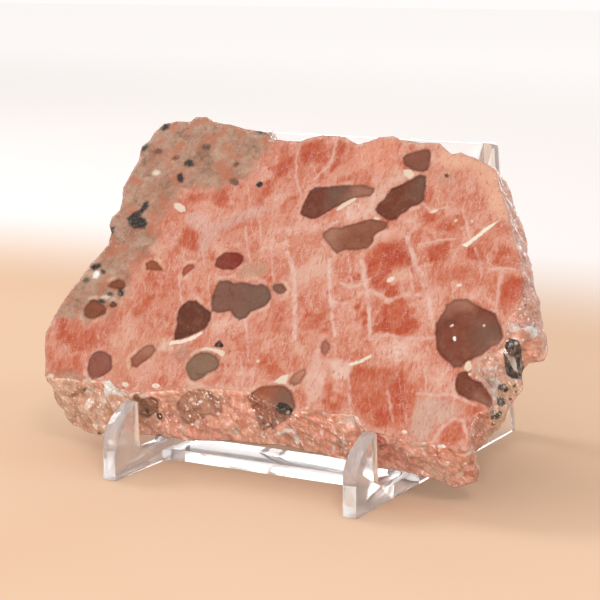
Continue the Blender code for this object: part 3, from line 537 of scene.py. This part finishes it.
def boundary_loop(bm, w):
    """The band's open edge at one sawn face, as vertices in order."""
    edges = [e for e in bm.edges if e.is_boundary and all(abs(v.co.z - w) < MERGE for v in e.verts)]
    start = edges[0].verts[0]
    loop = [start]
    edge = edges[0]
    here = edge.other_vert(start)
    while here is not start:
        loop.append(here)
        edge = next(e for e in here.link_edges if e.is_boundary and e is not edge)
        here = edge.other_vert(here)
    return loop


def fill_sawn_face(bm, w, spacing):
    """Fills a sawn face with a fine even mesh inside the band's open edge."""
    loop = boundary_loop(bm, w)
    edge = np.array([(v.co.x, v.co.y) for v in loop])
    low = edge.min(axis=0)
    high = edge.max(axis=0)
    rows = int((high[1] - low[1]) / (spacing * ROW_HEIGHT))
    columns = int((high[0] - low[0]) / spacing) + 1
    grid = np.array([
        (low[0] + (c + 0.5 * (r % 2)) * spacing, low[1] + r * spacing * ROW_HEIGHT)
        for r in range(rows + 1) for c in range(columns)
    ])
    grid = grid[outline_distance(grid, edge) < -EDGE_CLEARANCE * spacing]
    places = [Vector(p) for p in edge] + [Vector(p) for p in grid]
    ring = [(i, (i + 1) % len(loop)) for i in range(len(loop))]
    made = delaunay_2d_cdt(places, ring, [], 1, 1e-7)
    verts = list(loop) + [bm.verts.new((p[0], p[1], w)) for p in grid]
    source = [origins[0] for origins in made[3]]
    for face in made[2]:
        bm.faces.new([verts[source[i]] for i in face])


def outward_of(bm):
    """For each vertex, the outward direction of the rim in the sawn plane."""
    sideways = np.array([v.normal[:] for v in bm.verts])[:, :2]
    return sideways / np.maximum(np.linalg.norm(sideways, axis=1, keepdims=True), 1e-6)


def share_in_view(outward):
    """1 on the bottom and right of the rim, 0 on the sawn faces and the rest of the rim."""
    facing = (VIEW_U * outward[:, 0] + VIEW_V * outward[:, 1]) / VIEW_LENGTH
    return np.clip(facing / VIEW_SOFTNESS, 0.0, 1.0)


def seen_places(points, in_view):
    """Where the markings are read for each point of the slice, as u, v on the sawn face.

    On the bottom and right of the rim this is where the point shows against the sawn face from
    the front right, so that grains carry on round the edge. Elsewhere it is straight in, and on
    the back face it is mirrored.
    """
    eye = np.array(EYE_IN_SLICE)
    reach = (THICKNESS - points[:, 2]) / (eye[2] - points[:, 2])
    through = points[:, :2] + (eye[:2] - points[:, :2]) * reach[:, None]
    places = points[:, :2] + (through - points[:, :2]) * in_view[:, None]
    behind = points[:, 2] < 0.01
    places[behind] = points[behind, :2] * np.array((-1.0, 1.0)) + np.array((BACK_SHIFT, 0.0))
    return places


LAYERS = {1: ("FLOAT", "value"), 3: ("FLOAT_VECTOR", "vector"), 4: ("FLOAT_COLOR", "color")}


def add_layer(mesh, name, values):
    """Keeps a number, a vector or a colour for each point of the mesh."""
    values = np.asarray(values, np.float32)
    kind, key = LAYERS[values.size // len(mesh.vertices)]
    mesh.attributes.new(name, kind, "POINT").data.foreach_set(key, values.ravel())


def wander(places, height, scale):
    return np.array([noise.noise_vector(Vector((u, v, height)) * scale)[:2] for u, v in places])


def mark_colours(mesh, points, in_view, on_rim, places):
    """Grains and small marks, which fade out on the hidden part of the rim."""
    fade = 2.5 * (on_rim * (1.0 - in_view)) * np.clip((THICKNESS - points[:, 2]) / 3.0, 0.0, 1.0)
    for name, table in (("grain", GRAINS), ("mark", MARKS)):
        distance, which = topmost_outline(places, [row for _, *rows in table for row in rows])
        colours = np.array([seen(*tint) for tint, *rows in table for _ in rows])
        add_layer(mesh, name, np.clip(distance + fade, -FAR, FAR))
        add_layer(mesh, name + "_tint", colours[which])


def mark_tones(mesh, places, coarse, fine):
    """Smoky, faded, rocky, deep, pale and tinted parts, whose outlines wander a little."""
    soft_places = places + 0.8 * coarse + 0.35 * fine
    for name, rows in (("smoky", SMOKY), ("faded", FADED)):
        add_layer(mesh, name, falloff(distances(soft_places, rows).min(axis=0), 2.0))
    rock = distances(places + 2.2 * coarse + 0.5 * fine, ROCK).min(axis=0)
    add_layer(mesh, "rock", falloff(rock, 1.3))

    depth = np.zeros(len(places))
    for strength, soft, row in DEPTHS:
        depth += strength * falloff(outline_distance(soft_places, corners(row)), soft)
    add_layer(mesh, "depth", np.clip(depth, -1.0, 1.0))

    colour = np.zeros((len(places), 4))
    cover = np.zeros(len(places))
    for tint, strength, soft, row in TINTS:
        share = strength * falloff(outline_distance(soft_places, corners(row)), soft)
        colour = colour * (1.0 - share[:, None]) + np.array(seen(*tint)) * share[:, None]
        cover = cover * (1.0 - share) + share
    add_layer(mesh, "tint", colour / np.maximum(cover, 1e-6)[:, None])
    add_layer(mesh, "tint_share", cover)


def border_distance(points, on_rim):
    """Each point's distance to the nearest point of the broken rim."""
    tree = KDTree(int(on_rim.sum()))
    for index in np.flatnonzero(on_rim):
        tree.insert(points[index], index)
    tree.balance()
    return [min(FAR, tree.find(p)[2]) for p in points]


def mark(mesh, points, outward):
    """Writes the markings onto the mesh: distances in millimetres, colours and strengths."""
    in_view = share_in_view(outward)
    on_rim = np.abs(outward).sum(axis=1) > 0.0
    places = seen_places(points, in_view)
    noise.seed_set(SEED)
    coarse = wander(places, 0.0, 0.5)
    fine = wander(places, 9.0, 1.3)
    mark_colours(mesh, points, in_view, on_rim, places)
    mark_tones(mesh, places, coarse, fine)
    across, near, half, strength = nearest_vein(places + 0.25 * fine)
    add_layer(mesh, "vein_across", np.clip(across, -FAR, FAR))
    add_layer(mesh, "vein_near", np.clip(near, 0, FAR))
    add_layer(mesh, "vein_half", half)
    add_layer(mesh, "vein_strength", strength)
    add_layer(mesh, "rim", np.clip(np.minimum(points[:, 2], THICKNESS - points[:, 2]), 0, 2))
    add_layer(mesh, "border", border_distance(points, on_rim))
    # How much the rim faces down, which sets the painted underside light.
    add_layer(mesh, "underside", np.clip(-outward[:, 1], 0.0, 1.0))
    # On the visible rim the depth is pressed together, because the photo sees it at a slant.
    grain_place = points.copy()
    grain_place[:, 2] = THICKNESS - (THICKNESS - points[:, 2]) * (1.0 - 0.55 * in_view)
    add_layer(mesh, "uvw", grain_place)


def slice_piece():
    bm = rim_mesh()
    rim_outward = outward_of(bm)
    roughen(bm)
    fill_sawn_face(bm, THICKNESS, FACE_SPACING)
    fill_sawn_face(bm, 0.0, BACK_SPACING)
    bmesh.ops.recalc_face_normals(bm, faces=bm.faces[:])
    points = np.array([v.co[:] for v in bm.verts])
    outward = np.zeros((len(points), 2))
    outward[:len(rim_outward)] = rim_outward
    bm.transform(SLICE)
    mesh = mesh_from(bm, "slice_stone")
    mark(mesh, points, outward)
    mesh.shade_smooth()
    mesh.set_sharp_from_angle(angle=SHARP_STONE)
    return add_object("slice_stone", mesh)


class Value:
    """A node's output, so that a material's sums read as plain arithmetic."""

    def __init__(self, graph, socket):
        self.graph = graph
        self.socket = socket

    def __add__(self, other):
        return self.graph.math("ADD", self, other)

    def __sub__(self, other):
        return self.graph.math("SUBTRACT", self, other)

    def __rsub__(self, other):
        return self.graph.math("SUBTRACT", other, self)

    def __mul__(self, other):
        return self.graph.math("MULTIPLY", self, other)

    def __truediv__(self, other):
        return self.graph.math("DIVIDE", self, other)

    def __abs__(self):
        return self.graph.math("ABSOLUTE", self)


class Graph:
    """Short words for building a material's nodes."""

    def __init__(self, name):
        self.material = bpy.data.materials.new(name)
        self.material.use_nodes = True
        self.tree = self.material.node_tree
        self.shader = self.tree.nodes["Principled BSDF"]

    def put(self, socket, value):
        if isinstance(value, Value):
            self.tree.links.new(value.socket, socket)
        else:
            socket.default_value = value

    def surface(self, inputs):
        for name, value in inputs.items():
            self.put(self.shader.inputs[name], value)
        return self.material

    def node(self, kind, inputs, **settings):
        made = self.tree.nodes.new("ShaderNode" + kind)
        for key, value in settings.items():
            setattr(made, key, value)
        for key, value in inputs.items():
            self.put(made.inputs[key], value)
        return made

    def out(self, output, kind, inputs, **settings):
        return Value(self, self.node(kind, inputs, **settings).outputs[output])

    def math(self, operation, *values):
        return self.out(0, "Math", dict(enumerate(values)), operation=operation)

    def attribute(self, name, output="Fac"):
        return self.out(output, "Attribute", {}, attribute_name=name)

    def noise(self, place, scale, detail=3.0, rough=0.55, distortion=0.0):
        inputs = {"Scale": scale, "Detail": detail, "Roughness": rough, "Distortion": distortion}
        return self.out("Fac", "TexNoise", {"Vector": place, **inputs})

    def remap(self, value, low, high, to_low=0.0, to_high=1.0):
        inputs = {"Value": value, "From Min": low, "From Max": high, "To Min": to_low, "To Max": to_high}
        return self.out(0, "MapRange", inputs, interpolation_type="SMOOTHSTEP")

    def mix(self, factor, a, b, blend="MIX"):
        return self.out(2, "Mix", {0: factor, 6: a, 7: b}, data_type="RGBA", blend_type=blend)

    def ramp(self, factor, stops):
        made = self.node("ValToRGB", {"Fac": factor})
        band = made.color_ramp
        while len(band.elements) < len(stops):
            band.elements.new(0.5)
        for element, (at, colour) in zip(band.elements, stops):
            element.position = at
            element.color = colour
        return Value(self, made.outputs["Color"])

    def turned(self, place, degrees, stretch):
        """The place turned about w and stretched, to run lines along one direction."""
        inputs = {"Vector": place, "Rotation": (0.0, 0.0, math.radians(degrees)), "Scale": stretch}
        return self.out("Vector", "Mapping", inputs, vector_type="POINT")

    def vectors(self, operation, *values, output=0):
        return self.out(output, "VectorMath", dict(enumerate(values)), operation=operation)

    def bump(self, height, distance, below=None):
        inputs = {"Height": height, "Distance": distance, "Strength": 1.0}
        if below is not None:
            inputs["Normal"] = below
        return self.out("Normal", "Bump", inputs)


def cleavage_lines(g, place, degrees, spacing, width, low, high, run=0.3):
    """Thin light lines at uneven spacing that bend slowly and fade in and out along their length."""
    across = g.out("X", "SeparateXYZ", {"Vector": g.turned(place, degrees, (1.0, 1.0, 1.0))})
    across = (across + (g.noise(place, 0.13, 2.0) - 0.5) * 3.0) / spacing
    inputs = {"W": across, "Scale": 1.0, "Randomness": 0.85}
    edge = g.out("Distance", "TexVoronoi", inputs, voronoi_dimensions="1D", feature="DISTANCE_TO_EDGE")
    fade = g.remap(g.noise(g.turned(place, degrees, (2.0, run, 1.0)), 0.28, 3.0, 0.6), low, high)
    return g.remap(edge, width / spacing, 0.1 * width / spacing) * fade


def add_lines_and_flecks(g, place, warped, free, stone):
    """Cleavage lines and, on the sawn faces, short flecks along two directions."""
    core = g.math("MAXIMUM", cleavage_lines(g, warped, CLEAVAGE, 3.2, 0.17, 0.46, 0.64),
                  cleavage_lines(g, warped, CROSS_CLEAVAGE, 4.6, 0.14, 0.52, 0.68))
    core = g.math("MAXIMUM", core, cleavage_lines(g, warped, FINE_CLEAVAGE, 1.1, 0.11, 0.5, 0.68, 0.7) * 0.7)
    stone = g.mix(core * 0.6 * free, stone, seen(226, 176, 160))
    sawn = g.remap(g.attribute("rim"), 0.3, 0.05, 0.2, 1.0)
    for degrees, low, light in ((CLEAVAGE, 0.58, (231, 182, 164)), (CROSS_FLECKS, 0.61, (229, 178, 160))):
        fleck = g.noise(g.turned(place, degrees, (2.4, 0.75, 1.2)), 1.35, 2.0, 0.6)
        stone = g.mix(g.remap(fleck, low, low + 0.12, 0.0, 0.45) * (sawn * free), stone, seen(*light))
        dark_fleck = g.noise(g.turned(place, degrees, (2.0, 0.6, 1.2)), 1.2, 3.0, 0.6, 0.3)
        stone = g.mix(g.remap(dark_fleck, 0.42, 0.3, 0.0, 0.5) * sawn, stone, seen(174, 84, 63))
    return stone


def add_veins(g, place, stone):
    """Pale veins with a milky border, and fine pale wisps."""
    shake = (g.noise(place, 1.1, 2.0) - 0.5) * 0.3
    steps = abs(g.attribute("vein_across") + shake) / g.attribute("vein_half")
    patchy = g.remap(g.noise(place, 0.6, 3.0, 0.6), 0.35, 0.55, 0.4, 1.0)
    strength = g.attribute("vein_strength") * g.remap(g.attribute("vein_near"), 0.9, 0.4) * patchy
    stone = g.mix(g.remap(steps, 4.4, 0.8, 0.0, 0.5) * strength, stone, seen(218, 166, 149))
    fibre = g.remap(g.noise(g.turned(place, CLEAVAGE, (3.6, 0.35, 1.0)), 0.9, 3.0, 0.6), 0.35, 0.6, 0.55, 1.0)
    stone = g.mix(g.remap(steps, 2.0, 0.7) * fibre * strength, stone, seen(227, 184, 169))
    wisp = abs(g.noise(place, 1.15, 3.0, 0.6, 1.2) - 0.5)
    wisp = g.remap(wisp, 0.03, 0.004) * g.remap(g.noise(place, 0.3, 3.0, 0.6), 0.47, 0.62)
    return g.mix(wisp * 0.5, stone, seen(232, 188, 173))


def add_feldspar(g, place):
    """Salmon feldspar: deep blocks between pale cleavage lines, with milky films and fine wisps."""
    warp = g.out("Color", "TexNoise", {"Vector": place, "Scale": 0.7, "Detail": 3.0})
    warp = g.vectors("SUBTRACT", warp, (0.5, 0.5, 0.5))
    warped = g.vectors("MULTIPLY_ADD", warp, (1.4, 1.4, 1.4), place)
    inputs = {"Vector": g.turned(warped, CLEAVAGE, (0.42, 0.3, 0.15)), "Scale": 1.0, "Randomness": 0.9}
    blocks = g.out("Color", "TexVoronoi", inputs, distance="CHEBYCHEV")
    block_tone = g.out(0, "SeparateColor", {"Color": blocks})
    cloud = g.noise(place, 0.25, 4.0, 0.62, 0.4)
    grit = g.noise(g.turned(place, CLEAVAGE, (1.8, 0.8, 1.0)), 1.0, 5.0, 0.72)
    depth = g.attribute("depth")
    stone = g.ramp(block_tone * 0.2 + cloud * 0.42 + grit * 0.42 - depth * 0.24, [
        (0.14, seen(180, 78, 54)), (0.32, seen(193, 101, 77)), (0.48, seen(205, 126, 103)),
        (0.64, seen(217, 152, 131)), (0.85, seen(229, 184, 167)),
    ])
    free = 1.0 - g.math("MAXIMUM", depth, 0.0) * 0.75
    film = g.remap(g.noise(g.turned(place, CLEAVAGE, (2.2, 0.5, 1.0)), 0.6, 4.0, 0.65), 0.46, 0.7, 0.0, 0.55)
    stone = g.mix(film * free, stone, seen(222, 165, 146))
    mottle = g.noise(warped, 1.5, 4.0, 0.7)
    stone = g.mix(g.remap(mottle, 0.54, 0.7, 0.0, 0.5), stone, seen(186, 92, 69))
    murk = g.noise(place, 0.55, 4.0, 0.65, 0.6)
    stone = g.mix(g.remap(murk, 0.58, 0.72, 0.0, 0.45), stone, seen(180, 112, 92))
    share = g.attribute("tint_share") * g.remap(grit, 0.3, 0.75, 1.0, 0.7)
    stone = g.mix(share, stone, g.attribute("tint", "Color"))
    stone = add_lines_and_flecks(g, place, warped, free, stone)
    return add_veins(g, place, stone)


def add_rock(g, place):
    """Grey-tan granular rock with soft orange and grey patches and dark specks."""
    patches = g.noise(place, 0.24, 4.0, 0.62, 0.5)
    grains = g.noise(place, 1.3, 4.0, 0.7)
    rock = g.ramp(patches * 0.6 + grains * 0.4, [
        (0.3, seen(112, 86, 74)), (0.4, seen(150, 112, 93)), (0.5, seen(176, 136, 116)),
        (0.6, seen(190, 152, 132)), (0.75, seen(204, 172, 152)),
    ])
    blush = g.remap(g.noise(place, 0.26, 3.0, 0.6, 0.3), 0.44, 0.64, 0.0, 0.8)
    rock = g.mix(blush, rock, seen(186, 114, 88))
    speck = g.remap(g.noise(place, 1.7, 3.0, 0.65), 0.64, 0.72, 0.0, 0.75)
    rock = g.mix(speck, rock, seen(78, 66, 60))
    chip = g.remap(g.noise(place, 1.5, 3.0, 0.65, 0.2), 0.36, 0.29, 0.0, 0.6)
    return g.mix(chip, rock, seen(222, 196, 174))


def add_grains(g, place, stone):
    """Smoky grains: here and there a pale seam beside them, a thin darker edge, and a cloudy inside."""
    near = g.attribute("grain") + (g.noise(place, 1.1, 3.0, 0.6) - 0.5) * 0.55
    seam = g.remap(abs(near - 0.45), 0.6, 0.1) * g.remap(g.noise(place, 0.24, 2.0), 0.5, 0.66, 0.0, 0.5)
    stone = g.mix(seam, stone, seen(228, 190, 168))
    murk = g.noise(place, 0.4, 5.0, 0.65, 0.5)
    inside = g.attribute("grain_tint", "Color")
    inside = g.mix(g.remap(murk, 0.45, 0.75, 0.0, 0.35), inside, seen(164, 118, 102))
    inside = g.mix(g.remap(murk, 0.46, 0.28, 0.0, 0.35), inside, seen(92, 54, 45))
    inside = g.mix(g.attribute("smoky") * 0.7, inside, seen(128, 98, 85))
    inside = g.mix(g.attribute("faded") * 0.65, inside, seen(184, 130, 110))
    inside = g.mix(g.remap(abs(near + 0.3), 0.4, 0.0, 0.0, 0.3), inside, seen(90, 52, 45))
    grain = g.remap(near, 0.26, -0.26)
    return g.mix(grain, stone, inside), grain


def add_broken_rim(g, place, stone, grain):
    """The rim: painted light on its underside, paler patches that are partly the broken stone's tone and
    partly painted sheen, frayed into the sawn face, and a broken edge line that is partly a painted highlight.
    """
    off_grain = 1.0 - grain * 0.6
    rim = g.remap(g.attribute("rim"), 0.02, 0.12)
    # Painted light: where the rim faces down its colour is made about one and a half times lighter, standing
    # in for light the underside lacks.
    painted_underside_light = g.mix(1.0, stone, (1.44, 1.5, 1.52, 1.0), "MULTIPLY")
    stone = g.mix(rim * g.attribute("underside") * off_grain, stone, painted_underside_light)
    # Paler patches on the rim: partly the broken stone's own varied tone, partly painted sheen that lightens
    # the rim.
    bruise_and_painted_sheen = g.remap(g.noise(place, 0.75, 4.0, 0.7), 0.4, 0.66, 0.05, 0.75) * (1.0 - grain * 0.75)
    tone = g.ramp(g.noise(place, 0.17, 3.0, 0.6), [
        (0.36, (0.74, 0.46, 0.36, 1.0)), (0.47, (0.9, 0.54, 0.45, 1.0)), (0.56, (0.95, 0.42, 0.33, 1.0)),
        (0.66, (0.98, 0.66, 0.58, 1.0)),
    ])
    tone = g.mix(g.attribute("rock"), tone, (0.82, 0.6, 0.47, 1.0))
    stone = g.mix(rim * bruise_and_painted_sheen, stone, tone)
    frayed = g.attribute("border") + (g.noise(place, 0.55, 4.0, 0.65) - 0.5) * 3.2
    frayed = g.remap(frayed, 0.9, 0.0) * off_grain
    share = g.remap(g.noise(place, 1.1, 3.0, 0.6), 0.35, 0.6, 0.1, 0.6)
    stone = g.mix(share * frayed, stone, seen(226, 166, 142))
    # A pale line just off each sawn face: partly broken stone, partly a painted highlight along the edge.
    chipped_and_highlit_edge = g.remap(abs(g.attribute("rim") - 0.25), 0.4, 0.0)
    chipped_and_highlit_edge = chipped_and_highlit_edge * g.remap(g.noise(place, 0.7, 3.0, 0.6), 0.45, 0.62, 0.0, 0.6)
    return g.mix(rim * chipped_and_highlit_edge, stone, (0.97, 0.66, 0.54, 1.0)), rim, frayed


def add_marks(g, place, stone):
    near = g.attribute("mark") + (g.noise(place, 2.2, 3.0, 0.6) - 0.5) * 0.4
    near = near / (g.attribute("rock") * 2.2 + 1.0)
    cover = g.remap(near, 0.14, -0.1) * g.remap(g.noise(place, 1.5, 3.0, 0.6), 0.3, 0.55, 0.7, 1.0)
    return g.mix(cover, stone, g.attribute("mark_tint", "Color"))


def add_glints(g, place, stone, rim, grain):
    """Painted highlights: small pale dots, most of them on the rim, and patches of painted glints there."""
    cells = g.out("Distance", "TexVoronoi", {"Vector": place, "Scale": 0.95, "Randomness": 1.0}, feature="F1")
    pick = g.remap(g.noise(place, 0.3, 2.0), 0.45, 0.6, 0.1, 1.0)
    # Painted highlights: pale dots standing in for glints on the crystal faces.
    specks = g.remap(cells, 0.17, 0.1) * pick * (rim * 0.55 + 0.1) * (1.0 - grain * 0.6)
    specks = specks * g.remap(g.attribute("depth"), 0.0, 0.6, 1.0, 0.2)
    glint = g.remap(g.noise(place, 1.9, 3.0, 0.6, 0.4), 0.595, 0.65, 0.0, 0.95)
    glint = glint * g.remap(g.noise(place, 0.28, 2.0), 0.44, 0.58, 0.15, 1.0)
    return g.mix(g.math("MAXIMUM", specks, glint * rim), stone, (0.98, 0.88, 0.82, 1.0))


def facets(g, place, scale, tilt):
    """A height in millimetres that is a plane in each cell, leaning its own way."""
    cells = g.node("TexVoronoi", {"Vector": place, "Scale": scale, "Randomness": 1.0})
    lean = g.vectors("SUBTRACT", Value(g, cells.outputs["Color"]), (0.5, 0.5, 0.5))
    run = g.vectors("SUBTRACT", place, Value(g, cells.outputs["Position"]))
    return g.vectors("DOT_PRODUCT", lean, run, output="Value") * tilt


def stone_material():
    g = Graph("sunstone_rock")
    place = g.attribute("uvw", "Vector")
    stone = g.mix(g.attribute("rock") * 0.92, add_feldspar(g, place), add_rock(g, place))
    stone, grain = add_grains(g, place, stone)
    stone, rim, frayed = add_broken_rim(g, place, stone, grain)
    stone = add_marks(g, place, stone)
    stone = add_glints(g, place, stone, rim, grain)
    rough = g.remap(g.noise(place, 1.2, 3.0), 0.3, 0.7, 0.28, 0.44)
    face_relief = g.bump(g.noise(place, 3.0, 4.0, 0.6), 0.00003)
    broken = facets(g, place, 0.85, 0.7) + facets(g, place, 2.1, 0.6) + g.noise(place, 2.6, 4.0, 0.7) * 0.12
    relief = g.bump(broken * g.math("MAXIMUM", rim, frayed * 0.6), MM, face_relief)
    return g.surface({
        "Base Color": stone,
        "Roughness": rough - grain * 0.08,
        "IOR": 1.54,
        "Specular IOR Level": 0.25,
        "Subsurface Weight": 0.12,
        "Subsurface Radius": (1.0, 0.45, 0.3),
        "Subsurface Scale": 0.0012,
        "Normal": relief,
        "Coat Weight": g.math("MAXIMUM", rim, frayed * 0.5) * 0.9,
        "Coat Roughness": 0.14,
        "Coat Normal": relief,
    })


def plastic_material():
    g = Graph("clear_moulded_plastic")
    place = g.out("Object", "TexCoord", {})
    return g.surface({
        "Base Color": (0.99, 0.965, 0.96, 1.0),
        "Transmission Weight": 0.9,
        "IOR": 1.49,
        "Roughness": g.remap(g.noise(place, 160.0, 3.0, 0.6), 0.4, 0.75, 0.06, 0.14),
        "Normal": g.bump(g.noise(place, 60.0, 2.0, 0.5), 0.00002),
    })


def floor_material():
    g = Graph("pale_table")
    place = g.out("Object", "TexCoord", {})
    depth = g.out("Y", "SeparateXYZ", {"Vector": place})
    table = g.mix(g.remap(g.noise(place, 9.0, 2.0), 0.3, 0.7), flat(236, 199, 168), flat(240, 205, 175))
    # Painted shade: the floor's colour is darker near the object, where the lights fall strongest, and paler
    # well away, so the lit floor fades evenly into the white room.
    far = g.mix(g.remap(depth, 0.3, 1.4), (0.79, 0.755, 0.74, 1.0), (0.97, 0.955, 0.94, 1.0))
    return g.surface({
        "Base Color": g.mix(g.remap(depth, 0.12, 0.26), table, far),
        "Roughness": 0.7,
        "Specular IOR Level": 0.0,
    })


def easel_piece():
    """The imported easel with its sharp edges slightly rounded, as it comes from a mould."""
    bm = packed_mesh("display_easel")
    bmesh.ops.dissolve_limit(
        bm, angle_limit=math.radians(1.0), use_dissolve_boundaries=False, verts=bm.verts[:], edges=bm.edges[:]
    )
    sharp = [e for e in bm.edges if e.is_manifold and e.calc_face_angle() > SHARP_EASEL]
    bmesh.ops.bevel(
        bm, geom=sharp, offset=EDGE_RADIUS * MM, offset_type="OFFSET", segments=3, profile=0.5, affect="EDGES",
        clamp_overlap=True,
    )
    bmesh.ops.recalc_face_normals(bm, faces=bm.faces[:])
    mesh = mesh_from(bm, "easel_clear")
    mesh.shade_smooth()
    mesh.set_sharp_from_angle(angle=SHADE_EASEL)
    return add_object("easel_clear", mesh)


def add_floor():
    bm = bmesh.new()
    bmesh.ops.create_grid(bm, x_segments=2, y_segments=2, size=FLOOR_SIZE)
    mesh = mesh_from(bm, "floor")
    mesh.materials.append(floor_material())
    made = add_object("floor", mesh)
    made.location.z = -FLOOR_DROP


def aim(made, place, target):
    made.location = place
    made.rotation_euler = (Vector(target) - Vector(place)).to_track_quat("-Z", "Y").to_euler()


def add_lights():
    world = bpy.data.worlds.new("soft_room")
    world.use_nodes = True
    world.node_tree.nodes["Background"].inputs["Color"].default_value = ROOM
    world.node_tree.nodes["Background"].inputs["Strength"].default_value = 1.0
    bpy.context.scene.world = world
    for name, place, size, power, lights_matt in LIGHTS:
        light = bpy.data.lights.new(name, "AREA")
        light.shape = "RECTANGLE"
        light.size, light.size_y = size
        light.energy = power
        made = add_object(name, light)
        aim(made, place, LIGHT_TARGET)
        made.visible_camera = False
        made.visible_diffuse = lights_matt


def add_camera():
    data = bpy.data.cameras.new("camera")
    data.lens = LENS
    data.sensor_width = SENSOR
    data.clip_start = 0.01
    made = add_object("camera", data)
    aim(made, row_point(*EYE), row_point(*AIM))
    bpy.context.scene.camera = made


def main():
    scene = bpy.context.scene
    scene.view_settings.view_transform = "Standard"
    scene.cycles.max_bounces = BOUNCES
    scene.cycles.glossy_bounces = GLOSSY_BOUNCES
    scene.cycles.transmission_bounces = BOUNCES
    add_camera()
    add_lights()
    add_floor()
    stone = slice_piece()
    stone.data.materials.append(stone_material())
    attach(stone, "root")
    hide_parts("sunstone_slice")
    easel = easel_piece()
    easel.data.materials.append(plastic_material())
    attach(easel, "root")
    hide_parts("display_easel")


main()
